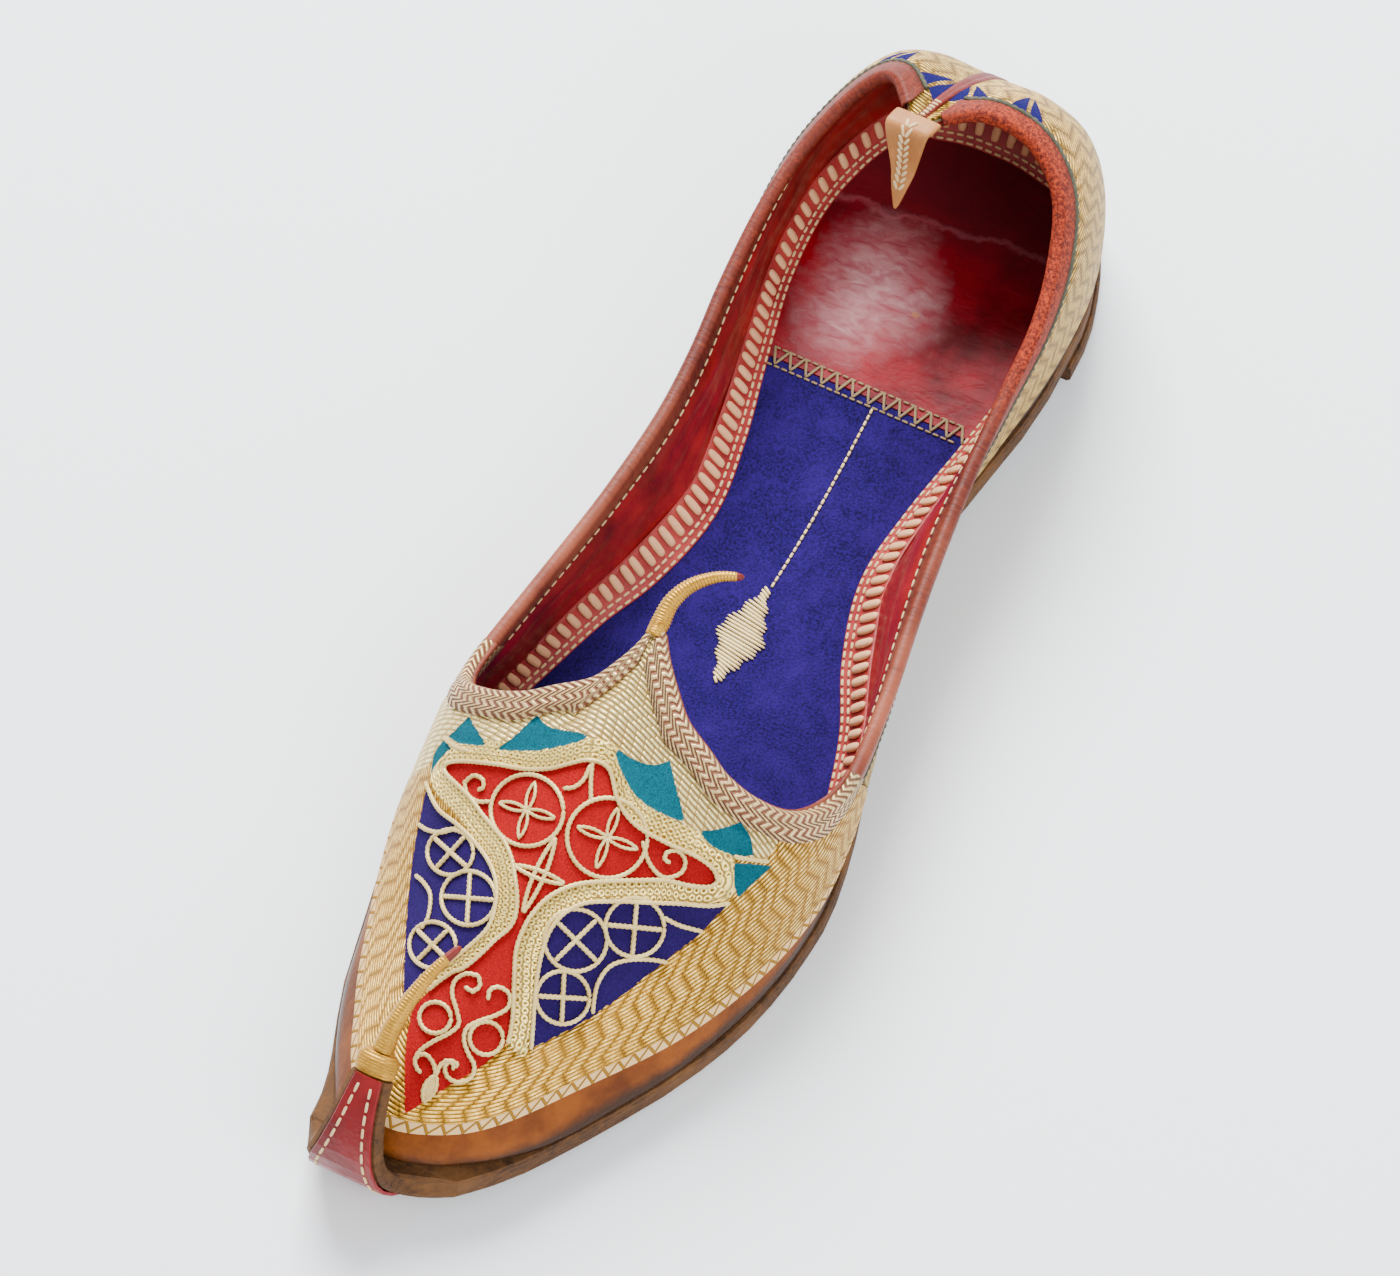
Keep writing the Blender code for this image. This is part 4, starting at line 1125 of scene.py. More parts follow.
def build_horns(wrapping, leather):
    """The two horns, one at the tongue's tip and one at the toe, and the toe's wrapping."""
    base = 0.0021
    tip = 0.0008
    clear = GAP * 2 + base
    reach = 0.015
    start = Vector(wall(0.0, 1.0)[0]) + Vector((-clear * 0.23, 0, clear * 0.1))
    offsets = ((0, 0, 0), (-0.28, 0.02, 0.14), (-0.56, 0.16, 0.24), (-0.80, 0.42, 0.29),
               (-0.95, 0.72, 0.29))
    inside = Vector(wall(0.0, 1.0)[0]) + Vector((0.0024, 0, 0.0004))
    path = [inside] + [start + Vector(spot) * reach for spot in offsets]
    wound_horn("throat_horn_wound", path, [wrapping, leather], ("throat_horn",), 0.0022, base,
               tip, 0.72)
    wrap = 0.0045
    _, _, heading = strip_place(1.0)
    ahead = Vector((math.cos(heading), 0, math.sin(heading)))
    middle = on_strip(1.0, 0.0, STRIP_THICKNESS / 2)
    start = middle + ahead * (wrap + 2.5 * GAP)
    reach = 0.021
    climb = 0.011
    offsets = ((0, 0, 0), (-0.22, 0.02, 0.34), (-0.48, 0.08, 0.64), (-0.75, 0.17, 0.87),
               (-1.0, 0.28, 1.0))
    points = [start + Vector((x * reach, y * reach, z * climb)) for x, y, z in offsets]
    wound_horn("toe_horn_wound", points, [wrapping, leather], ("toe_horn",), 0.0042, base, tip)
    runs = np.linspace(0, 1, 46)
    half = strip_half_width(1.0) + GAP
    sizes = np.interp(runs, (0, 0.25, 0.75, 1.0), (0.86, 1.0, 0.98, 0.72))
    path = [middle + ahead * (GAP + run * wrap) for run in runs]
    work = bmesh.new()
    add_tube(work, path, sizes * half, 24, ridge=0.03, pitch=0.0006,
             flat=0.0026 / half, outward=np.tile(
                 (-math.sin(heading), 0.0, math.cos(heading)), (len(path), 1)))
    finish_piece(work, "toe_wrap_threads", [wrapping], ("toe_wrap",), "gold_embroidery")


def inner_band(places, share):
    """Points of the slanted band round the floor inside, from the wall (0) to the floor (1),
    and its outward directions."""
    # The band's height on the wall, how far its hollow and its edge lie from the wall, and how
    # far the hollow is above the floor
    height, hollow, reach, rise = 0.0074, 0.0016, 0.0040, 0.0010
    wall_share = share_at_height(places, height)
    high = on_wall(places, wall_share, np.full(len(places), -WALL - 0.0003))
    foot = wall(places, 0.0)
    out = wall_out(places, 0.05)
    flat = out * np.array((1, 1, 0))
    flat /= np.linalg.norm(flat, axis=1)[:, None]
    level = foot[:, 2] - FOOT_GAP + INSIDE_FLOOR + 0.0002
    corner = foot - flat * (WALL + hollow)
    corner[:, 2] = level + rise
    edge = foot - flat * (WALL + reach)
    edge[:, 2] = level
    rest = 1 - share
    point = rest ** 2 * high + 2 * rest * share * corner + share ** 2 * edge
    down = 2 * rest * (corner - high) + 2 * share * (edge - corner)
    run = np.gradient(foot, axis=0)
    normal = np.cross(run, down)
    normal /= np.linalg.norm(normal, axis=1)[:, None]
    normal *= np.sign(normal[:, 2:3])
    return point, normal


def build_inside(strip_leather, thread, bars):
    """The red strip round the floor inside, its dashes, and the ladder of cream laces on it."""
    band_start, ladder_start = 3.0, 3.6
    thickness = 0.0005
    columns = 361
    rows = 11
    places = np.linspace(band_start, AROUND - band_start, columns)
    along = lengths_along(wall(places, 0.0)) / MM
    lines = [inner_band(places, share) for share in np.linspace(0, 1, rows)]
    face = np.array([line for line, _ in lines])
    back = face - np.array([outward for _, outward in lines]) * thickness
    points = np.concatenate((face, back[::-1], face[:1]))
    chart = np.stack((np.repeat(along[None], rows, 0),
                      np.repeat(np.linspace(0, 7, rows)[:, None], columns, 1)), 2)
    chart = np.concatenate((chart, chart[::-1], chart[:1]))
    sheet_piece(points, chart, "inner_band", [strip_leather], (), "crimson_leather")
    work = bmesh.new()
    for share in (0.66, 0.90):
        line, outward = inner_band(places, share)
        add_running(work, line + outward * 0.0001, outward, 0.0021, 0.74, 0.0006, 0.0005)
    finish_piece(work, "inner_band_stitches", [thread])
    work = bmesh.new()
    places = np.linspace(ladder_start, AROUND - ladder_start, 2401)
    head, _ = inner_band(places, 0.03)
    foot, out = inner_band(places, 0.54)
    run = lengths_along(foot)
    at = 0.0
    while at < run[-1]:
        i = int(np.searchsorted(run, at))
        lift = out[i] * (0.0002 + 0.0001 * math.sin(i * 1.3))
        add_stitch(work, foot[i] + lift, head[i] + lift, out[i], 0.0019, 0.0010)
        round_heel = abs(places[i] - HEEL_RIB) < 6
        at += (0.0035 if round_heel else 0.0029) + 0.00012 * math.sin(i * 2.1)
    finish_piece(work, "ladder_stitches", [bars])


def on_floor(points, lift):
    """Points on the floor inside, from places (x, y) taken from the heel."""
    x, y = np.asarray(points, float).T
    return np.stack((x + HEEL.x, y + HEEL.y, sole_top(x) + INSIDE_FLOOR + lift), 1)


def build_floor_stitches(seam_thread, satin):
    """The zigzag seam where sock and cloth meet, the chain line and the satin lozenge."""
    half = float(sole_half_width(SOCK_LENGTH)) - LEDGE - WALL - INSOLE_CLEARANCE - 0.0030
    middle = float(centre_line(SOCK_LENGTH))
    count = int(2 * half / 0.00165)
    across = middle + np.linspace(-half, half, count)
    zig = np.where(np.arange(count) % 2 == 0, -0.0021, 0.0019) + SOCK_LENGTH - 0.0004
    work = bmesh.new()
    corners = on_floor(np.stack((zig, across), 1), 0.00025)
    for i in range(count - 1):
        add_stitch(work, corners[i], corners[i + 1], (0, 0, 1), 0.0006, 0.0005)
    share = np.linspace(0, 1, 60)
    upward = np.tile((0.0, 0.0, 1.0), (len(share), 1))
    for side in (-0.0022, 0.0018):
        line = on_floor(np.stack((np.full(len(share), SOCK_LENGTH + side),
                                  middle + half * (2 * share - 1)), 1), 0.0002)
        add_running(work, line, upward, 0.0017, 0.8, 0.0005, 0.0004)
    finish_piece(work, "seam_stitches", [seam_thread])
    work = bmesh.new()
    sway = 0.0023 - 0.0006 * share + 0.0007 * np.sin(share * 2.6)
    line = on_floor(np.stack((0.073 + 0.045 * share, sway), 1), 0.0002)
    add_running(work, line, upward, 0.0015, 0.85, 0.0006, 0.0005)
    finish_piece(work, "chain_stitches", [satin])
    # The lozenge: its place and size, its middle, and how slanted and ragged its threads are
    work = bmesh.new()
    rows = 31
    start, length, half, widest = 0.1175, 0.0250, 0.0055, 0.52
    middle, slant, ragged = 0.0017, 0.0006, 0.0004
    for i in range(rows):
        part = (i + 0.5) / rows
        reach = half * min(part / widest, (1 - part) / (1 - widest))
        x = start + length * part
        ends = on_floor(((x - slant, middle - reach + ragged * math.sin(i * 5.1)),
                         (x + slant, middle + reach + ragged * math.sin(i * 7.7))), 0.0003)
        if reach > ragged:
            add_stitch(work, ends[0], ends[1], (0, 0, 1), 0.00066, 0.0006)
    finish_piece(work, "satin_lozenge", [satin])


def build_edge_threads(cream, grey, start, end, side):
    """Threads along the collar: a cream running stitch inside and a grey cord outside."""
    stitch_depth, stitch_inset = 0.0036, 0.0018
    cord_depth, cord_stand = 0.0045, 0.0003
    places = np.linspace(start, end, 401)
    shares = share_at_depth(places, stitch_depth)
    out = wall_out(places, shares)
    inner = wall(places, shares) - out * stitch_inset
    work = bmesh.new()
    add_running(work, inner, -out, 0.0024, 0.72, 0.00045, 0.0004)
    finish_piece(work, "collar_stitches_" + side, [cream])
    work = bmesh.new()
    low = share_at_depth(places, cord_depth)
    outer = on_wall(places, low, panel_face(places, low) + cord_stand)
    path = resampled(outer, 0.0003)
    add_tube(work, path, 0.00055, ridge=0.2, pitch=0.0016)
    finish_piece(work, "collar_cord_" + side, [grey])


def build_piping(leather, start, end, side):
    """Thin red piping inside the throat's braid."""
    places = np.linspace(start, end, 201)
    edge, out, beyond = edge_frame(places)
    above, inward, radius = 0.0010, 0.0013, 0.0006
    line = edge + beyond * above - out * inward
    work = bmesh.new()
    add_tube(work, resampled(line, radius), radius)
    finish_piece(work, "throat_piping_" + side, [leather], slot="red_leather")


def build_toe_stitches(thread):
    """Two rows of long cream stitches along the toe's red facing, and a few on the beak."""
    margin, least = 0.0029, 0.0006
    facing_rise = -GAP - 0.0009
    work = bmesh.new()
    shares = np.linspace(0.05, 0.98, 120)
    for side in (-1, 1):
        line = []
        outward = []
        for share in shares:
            half = min(strip_half_width(share), STRIP_WIDTH / 2)
            across = side * max(half - margin, least)
            line.append(on_strip(share, across, facing_rise))
            heading = strip_place(share)[2]
            outward.append((math.sin(heading), 0, -math.cos(heading)))
        add_running(work, np.array(line), np.array(outward), 0.0027, 0.78, 0.0006, 0.0004)
    finish_piece(work, "toe_stitches", [thread])
    # On the beak, each stitch is a little lower and wider than the one before
    work = bmesh.new()
    step = 0.012
    for i in range(7):
        share = 0.985 - i * step
        reach = 0.16 + i * step
        sides = np.array([HEEL_RIB - reach, HEEL_RIB + reach])
        ends = on_wall(sides, share, panel_face(sides, share) + 0.0006)
        add_stitch(work, ends[0], ends[1], Vector(wall_out(float(HEEL_RIB), share)[0]), 0.0006,
                   0.0006)
    finish_piece(work, "beak_stitches", [thread])


# Materials

def leather_material(name, light, dark, roughness, crease_size, coat=0.0):
    """Vegetable-tanned leather: its colour varies in soft clouds, over pores 1.1 mm apart and
    longer creases, and it shines a little where the creases are smooth."""
    pore_step = 0.0011
    material, tree, shader = new_material(name, Coat_Weight=coat, Coat_Roughness=0.25,
                                          Specular_IOR_Level=0.3)
    place = node(tree, "TexCoord").outputs["Object"]
    clouds = node(tree, "TexNoise", {"Vector": place, "Scale": 90.0, "Detail": 5.0,
                                     "Roughness": 0.6})
    creases = node(tree, "TexNoise", {"Vector": place, "Scale": 1 / crease_size, "Detail": 6.0,
                                      "Roughness": 0.65, "Distortion": 1.2})
    pores = node(tree, "TexVoronoi", {"Vector": place, "Scale": 1 / pore_step})
    shade = node(tree, "MapRange", {0: clouds, 1: 0.3, 2: 0.7})
    base = node(tree, "Mix", {0: shade, 6: dark, 7: light}, data_type="RGBA")
    height = node(tree, "Math", {0: creases, 1: node(tree, "Math", {0: pores, 1: 0.25},
                                                     operation="MULTIPLY")}, operation="ADD")
    gloss = node(tree, "MapRange", {0: creases, 1: 0.3, 2: 0.7, 3: roughness - 0.08,
                                    4: roughness + 0.1})
    surface(tree, shader, base, gloss, height=height, depth=0.00025, strength=0.8)
    return material


def thread_material(name, light, dark, metallic=0.0, roughness=0.6):
    """Twisted thread, cotton or gold-covered: fine fibres along its round."""
    material, tree, shader = new_material(name, Metallic=metallic, Specular_IOR_Level=0.2)
    place = node(tree, "TexCoord").outputs["Object"]
    fibres = node(tree, "TexNoise", {"Vector": place, "Scale": 2600.0, "Detail": 3.0})
    patches = node(tree, "TexNoise", {"Vector": place, "Scale": 220.0, "Detail": 3.0})
    shade = node(tree, "Math", {0: fibres, 1: patches, 2: 0.15}, operation="MULTIPLY_ADD",
                 use_clamp=True)
    base = node(tree, "Mix", {0: shade, 6: dark, 7: light}, data_type="RGBA")
    surface(tree, shader, base, node(tree, "MapRange", {0: fibres, 3: roughness - 0.1,
                                                        4: roughness + 0.15}),
            height=fibres, depth=0.00008)
    return material


def sole_material():
    """Sole leather: bark-tanned buffalo hide, brown and rough, with fibres at its cut edge."""
    material, tree, shader = new_material("sole_leather", Specular_IOR_Level=0.25)
    place = node(tree, "TexCoord").outputs["Object"]
    layers = node(tree, "Mapping", {"Vector": place, "Scale": (1.0, 1.0, 3.0)})
    fibres = node(tree, "TexNoise", {"Vector": layers, "Scale": 520.0, "Detail": 7.0,
                                     "Roughness": 0.7})
    clouds = node(tree, "TexNoise", {"Vector": place, "Scale": 70.0, "Detail": 5.0})
    shade = node(tree, "MapRange", {0: fibres, 1: 0.35, 2: 0.68})
    base = node(tree, "Mix", {0: shade, 6: "301e10", 7: "644020"}, data_type="RGBA")
    faded = node(tree, "MapRange", {0: clouds, 1: 0.45, 2: 0.7, 4: 0.55})
    base = node(tree, "Mix", {0: faded, 6: base, 7: "7c522a"}, data_type="RGBA")
    surface(tree, shader, base, node(tree, "MapRange", {0: fibres, 3: 0.6, 4: 0.9}),
            height=fibres, depth=0.0003)
    return material


def outer_material():
    """Rand leather of the upper: russet tan above, stained dark brown and glossy at the sole."""
    material, tree, shader = new_material("rand_leather", Specular_IOR_Level=0.12)
    place = node(tree, "TexCoord").outputs["Object"]
    chart = node(tree, "SeparateXYZ", {0: node(tree, "UVMap")})
    clouds = node(tree, "TexNoise", {"Vector": place, "Scale": 120.0, "Detail": 6.0,
                                     "Roughness": 0.6})
    grain = node(tree, "TexNoise", {"Vector": place, "Scale": 900.0, "Detail": 4.0})
    edge = node(tree, "Math", {0: clouds, 1: 0.07, 2: chart.outputs[1]}, operation="MULTIPLY_ADD")
    stain = node(tree, "MapRange", {0: edge, 1: 0.11, 2: 0.19})
    tan = node(tree, "Mix", {0: node(tree, "MapRange", {0: clouds, 1: 0.35, 2: 0.65}),
                             6: "582a0c", 7: "824412"}, data_type="RGBA")
    round_back = node(tree, "MapRange", {0: node(tree, "SeparateXYZ", {0: place}).outputs[0],
                                         1: -0.09, 2: 0.01, 3: 1.0, 4: 0.0})
    tan = node(tree, "Mix", {0: round_back, 6: tan, 7: "6c6044"}, data_type="RGBA")
    base = node(tree, "Mix", {0: stain, 6: "321c0c", 7: tan}, data_type="RGBA")
    rough = node(tree, "MapRange", {0: stain, 3: 0.30, 4: 0.55})
    surface(tree, shader, base, rough, height=grain, depth=0.00015)
    return material


def roll_material():
    """Collar leather: aniline-dyed goat, orange red, finely wrinkled across its fold and
    rubbed paler towards the waist."""
    material, tree, shader = new_material("collar_leather", Specular_IOR_Level=0.25)
    place = node(tree, "TexCoord").outputs["Object"]
    chart = node(tree, "Mapping", {"Vector": node(tree, "UVMap"), "Scale": (1.1, 0.18, 1.0)})
    folds = node(tree, "TexNoise", {"Vector": chart, "Scale": 1.0, "Detail": 5.0,
                                    "Roughness": 0.65, "Distortion": 0.4})
    clouds = node(tree, "TexNoise", {"Vector": place, "Scale": 55.0, "Detail": 4.0})
    shade = node(tree, "MapRange", {0: folds, 1: 0.35, 2: 0.65})
    base = node(tree, "Mix", {0: shade, 6: "46130b", 7: "6c2817"}, data_type="RGBA")
    along = node(tree, "SeparateXYZ", {0: place}).outputs[0]
    waist = node(tree, "MapRange", {0: along, 1: -0.045, 2: 0.005})
    front = node(tree, "MapRange", {0: along, 1: 0.02, 2: 0.05, 3: 1.0, 4: 0.0})
    patches = node(tree, "MapRange", {0: clouds, 1: 0.35, 2: 0.6, 3: 0.15, 4: 0.75})
    wear_and_highlight = node(tree, "Math", {0: waist, 1: front}, operation="MULTIPLY")
    wear_and_highlight = node(tree, "Math", {0: wear_and_highlight, 1: patches}, operation="MULTIPLY")
    base = node(tree, "Mix", {0: wear_and_highlight, 6: base, 7: "985038"}, data_type="RGBA")
    # Torn grain round the right of the heel, where bright fibres stand up
    fibres = node(tree, "TexNoise", {"Vector": place, "Scale": 1500.0, "Detail": 4.0,
                                     "Roughness": 0.75})
    torn = node(tree, "MapRange", {0: along, 1: -0.07, 2: -0.05, 3: 0.85, 4: 0.0})
    right = node(tree, "MapRange", {0: node(tree, "SeparateXYZ", {0: place}).outputs[1],
                                    1: -0.012, 2: 0.002, 3: 0.25, 4: 1.0})
    torn = node(tree, "Math", {0: torn, 1: right}, operation="MULTIPLY")
    fluff = node(tree, "Mix", {0: node(tree, "MapRange", {0: fibres, 1: 0.42, 2: 0.6}),
                               6: "4c0c05", 7: "aa3812"}, data_type="RGBA")
    base = node(tree, "Mix", {0: torn, 6: base, 7: fluff}, data_type="RGBA")
    relief = node(tree, "Mix", {0: torn, 2: folds, 3: fibres})
    surface(tree, shader, base, node(tree, "MapRange", {0: torn, 3: 0.48, 4: 0.85}),
            height=relief, depth=0.0003)
    return material


def sock_material():
    """Heel sock: crimson glazed kid, darker at the heel end by painted shade under the counter,
    with a painted highlight as a pale crackled patch where the heel stands, a crease across it
    and a small tear that shows its tan flesh."""
    material, tree, shader = new_material("sock_leather", Specular_IOR_Level=0.10)
    place = node(tree, "TexCoord").outputs["Object"]
    spot = node(tree, "SeparateXYZ", {0: place})
    clouds = node(tree, "TexNoise", {"Vector": place, "Scale": 75.0, "Detail": 7.0,
                                     "Roughness": 0.62})
    turned = node(tree, "Mapping", {"Vector": place, "Scale": (2.4, 1.0, 1.0),
                                    "Rotation": (0.0, 0.0, 0.4)})
    wrinkles = node(tree, "TexNoise", {"Vector": turned, "Scale": 210.0, "Detail": 6.0,
                                       "Roughness": 0.55, "Distortion": 0.6})
    base = node(tree, "Mix", {0: node(tree, "MapRange", {0: clouds, 1: 0.35, 2: 0.65}),
                              6: "56040e", 7: "8c0a1c"}, data_type="RGBA")
    # Painted shade: darker towards the heel end, under the heel counter
    dimmed = node(tree, "MapRange", {0: spot.outputs[0], 1: HEEL.x + 0.022, 2: HEEL.x + 0.040,
                                   3: 0.75, 4: 0.0})
    base = node(tree, "Mix", {0: dimmed, 6: base, 7: "561a22"}, data_type="RGBA")
    # Painted highlight: a pale patch about 34 by 26 mm, left of the middle, for the glazed kid's
    # gloss
    away = node(tree, "VectorMath", {0: place, 1: (HEEL.x + 0.0485, HEEL.y - 0.010, 0.0145)},
                operation="SUBTRACT")
    away = node(tree, "VectorMath", {0: away, 1: (1.0, 1.25, 0.0)}, operation="MULTIPLY")
    from_highlight = node(tree, "VectorMath", {0: away}, operation="LENGTH")
    edge = node(tree, "Math", {0: clouds, 1: 0.020, 2: from_highlight}, operation="MULTIPLY_ADD")
    highlight_patch = node(tree, "MapRange", {0: edge, 1: 0.014, 2: 0.031, 3: 1.0, 4: 0.0})
    pale = node(tree, "Mix", {0: node(tree, "MapRange", {0: wrinkles, 1: 0.34, 2: 0.66}),
                              6: "b0606a", 7: "d6a2a4"}, data_type="RGBA")
    # Mixes in the painted highlight, at most 85 %
    wear_and_highlight = node(tree, "Math", {0: highlight_patch, 1: 0.85}, operation="MULTIPLY")
    base = node(tree, "Mix", {0: wear_and_highlight, 6: base, 7: pale}, data_type="RGBA")
    # The crease: a wavy line across, behind the painted highlight
    wave = node(tree, "Math", {0: clouds, 1: 0.010, 2: spot.outputs[0]}, operation="MULTIPLY_ADD")
    slanted = node(tree, "Math", {0: spot.outputs[1], 1: 0.10, 2: wave}, operation="MULTIPLY_ADD")
    off = apart(tree, slanted, HEEL.x + 0.0327)
    crease_line = node(tree, "MapRange", {0: off, 1: 0.0002, 2: 0.0010, 3: 1.0, 4: 0.0})
    faint = node(tree, "Math", {0: crease_line, 1: 0.35}, operation="MULTIPLY")
    base = node(tree, "Mix", {0: faint, 6: base, 7: "a05860"}, data_type="RGBA")
    from_tear = node(tree, "VectorMath", {0: place, 1: (HEEL.x + 0.05, HEEL.y + 0.0003, 0.0147)},
                     operation="DISTANCE")
    ragged = node(tree, "Math", {0: clouds, 1: 0.004, 2: from_tear}, operation="MULTIPLY_ADD")
    torn = node(tree, "MapRange", {0: ragged, 1: 0.0028, 2: 0.0032, 3: 1.0, 4: 0.0})
    base = node(tree, "Mix", {0: torn, 6: base, 7: "b8743c"}, data_type="RGBA")
    height = node(tree, "Math", {0: crease_line, 1: 0.6, 2: wrinkles}, operation="MULTIPLY_ADD")
    surface(tree, shader, base, node(tree, "MapRange", {0: highlight_patch, 3: 0.38, 4: 0.50}),
            height=height, depth=0.00022)
    return material


def weave_parts(tree, along, up, pitch, period, slant):
    """Height of rows of gold wire, each stitched down a step further on than the row below."""
    across = node(tree, "Math", {0: up, 1: pitch}, operation="DIVIDE")
    row = node(tree, "Math", {0: across}, operation="FLOOR")
    in_row = node(tree, "Math", {0: across}, operation="FRACT")
    step = node(tree, "Math", {0: row, 1: 5.0}, operation="PINGPONG")
    shift = node(tree, "Math", {0: step, 1: slant, 2: along}, operation="MULTIPLY_ADD")
    ridge = node(tree, "Math", {0: hump(tree, in_row), 1: 0.7}, operation="POWER")
    swell = node(tree, "Math", {0: hump(tree, repeating(tree, shift, period)), 1: 0.3},
                 operation="POWER")
    return node(tree, "Math", {0: ridge, 1: swell}, operation="MULTIPLY")


# Rows of laid gold wire: their pitch, the run of one stitch, and the step to the next row, in mm
GOLD_ROWS = (0.9, 4.3, 0.62)
BASKET_ROWS = (0.95, 2.3, 0.46)


def gold_colour(tree, place, height, dark, light, glint):
    """Painted shade of gold wire, dark in the hollows between its rows, from their height and its
    fine grain; and its colour, with a painted glint on the tops of the rows.
    """
    fine = node(tree, "TexNoise", {"Vector": place, "Scale": 1500.0, "Detail": 3.0})
    grain = node(tree, "MapRange", {0: fine, 1: 0.3, 2: 0.7, 3: 0.72, 4: 1.1})
    shade = node(tree, "Math", {0: height, 1: grain}, operation="MULTIPLY", use_clamp=True)
    gold = node(tree, "Mix", {0: shade, 6: dark, 7: light}, data_type="RGBA")
    # Painted glint where the wire stands highest
    bright = node(tree, "MapRange", {0: shade, 1: 0.66, 2: 1.0})
    return shade, node(tree, "Mix", {0: bright, 6: gold, 7: glint}, data_type="RGBA")


def vamp_material():
    """Gold-wire embroidery on red, violet and teal felt, with a raised chain band, a basket
    weave on the tongue, and a cream hem with zigzag stitches at the foot."""
    material, tree, shader = new_material("vamp_embroidery", Specular_IOR_Level=0.12)
    place = node(tree, "TexCoord").outputs["Object"]
    spot = node(tree, "SeparateXYZ", {0: node(tree, "Mapping", {
        "Vector": place, "Scale": (1000.0, 1000.0, 1000.0), "Rotation": (0.0, 0.0, 0.25)})})
    chart = node(tree, "SeparateXYZ", {0: node(tree, "UVMap")})
    marks = {name: node(tree, "Attribute", attribute_name=name).outputs["Fac"]
             for name in ("red", "violet", "teal", "band", "band_run", "tongue")}
    wires = weave_parts(tree, chart.outputs[0], chart.outputs[1], *GOLD_ROWS)
    basket = weave_parts(tree, spot.outputs[1], spot.outputs[0], *BASKET_ROWS)
    on_tongue = node(tree, "MapRange", {0: marks["tongue"], 1: 0.45, 2: 0.55})
    wires = node(tree, "Mix", {0: on_tongue, 2: wires, 3: basket})
    clouds = node(tree, "TexNoise", {"Vector": place, "Scale": 110.0, "Detail": 4.0})
    # Chain stitch of the raised band: three rows of loops with a dark eye in each
    lane = node(tree, "Math", {0: marks["band"], 1: 1.5}, operation="DIVIDE")
    lane_in = node(tree, "Math", {0: lane}, operation="FRACT")
    lane_row = node(tree, "Math", {0: lane}, operation="FLOOR")
    run = node(tree, "Math", {0: marks["band_run"], 1: 1.4}, operation="DIVIDE")
    loops = node(tree, "Math", {0: lane_row, 1: 0.5, 2: run}, operation="MULTIPLY_ADD")
    loop_in = node(tree, "Math", {0: loops}, operation="FRACT")
    off_row = node(tree, "Math", {0: lane_in, 1: 0.5}, operation="SUBTRACT")
    off_loop = node(tree, "Math", {0: loop_in, 1: 0.5}, operation="SUBTRACT")
    eye = node(tree, "VectorMath", {0: node(tree, "CombineXYZ", {0: off_row, 1: off_loop})},
               operation="LENGTH")
    chain = node(tree, "MapRange", {0: eye, 1: 0.06, 2: 0.26})
    rim = node(tree, "MapRange", {0: eye, 1: 0.40, 2: 0.60, 3: 1.0, 4: 0.15})
    chain = node(tree, "Math", {0: chain, 1: rim}, operation="MULTIPLY")
    on_band = node(tree, "MapRange", {0: marks["band"], 1: 4.35, 2: 4.55, 3: 1.0, 4: 0.0})
    height = node(tree, "Mix", {0: on_band, 2: wires, 3: chain})
    # Gold with painted shade between its rows and a painted glint on their tops
    shade, gold = gold_colour(tree, place, height, "543606", "dca02c", "ffe088")
    # The tongue's paler gold, with the same painted shade in its hollows
    pale = node(tree, "Mix", {0: shade, 6: "b08a3c", 7: "fff2b4"}, data_type="RGBA")
    gold = node(tree, "Mix", {0: node(tree, "Math", {0: on_tongue, 1: 0.7}, operation="MULTIPLY"),
                              6: gold, 7: pale}, data_type="RGBA")
    dimmed = node(tree, "MapRange", {0: clouds, 1: 0.5, 2: 0.75, 4: 0.35})
    gold = node(tree, "Mix", {0: dimmed, 6: gold, 7: "b8842c"}, data_type="RGBA")
    # Cream gold of the band, with the same painted shade in its chain's hollows and eyes
    cream = node(tree, "Mix", {0: shade, 6: "84580e", 7: "ffe484"}, data_type="RGBA")
    gold = node(tree, "Mix", {0: on_band, 6: gold, 7: cream}, data_type="RGBA")
    # The hem: pale skin below, crossed by zigzag stitches of gold thread
    zigzag = node(tree, "Math", {0: node(tree, "Math", {0: chart.outputs[0], 1: 1.7},
                                         operation="PINGPONG"), 1: 1.25, 2: 0.15},
                  operation="MULTIPLY_ADD")
    stitch = node(tree, "MapRange", {0: apart(tree, chart.outputs[1], zigzag),
                                     1: 0.28, 2: 0.46, 3: 1.0, 4: 0.0})
    hem = node(tree, "MapRange", {0: chart.outputs[1], 1: 2.3, 2: 2.5, 3: 1.0, 4: 0.0})
    skin = node(tree, "Mix", {0: stitch, 6: "dcb47c", 7: "94681c"}, data_type="RGBA")
    base = node(tree, "Mix", {0: hem, 6: gold, 7: skin}, data_type="RGBA")
    height = node(tree, "Mix", {0: hem, 2: height, 3: stitch})
    metal = node(tree, "Math", {0: 1.0, 1: hem}, operation="SUBTRACT")
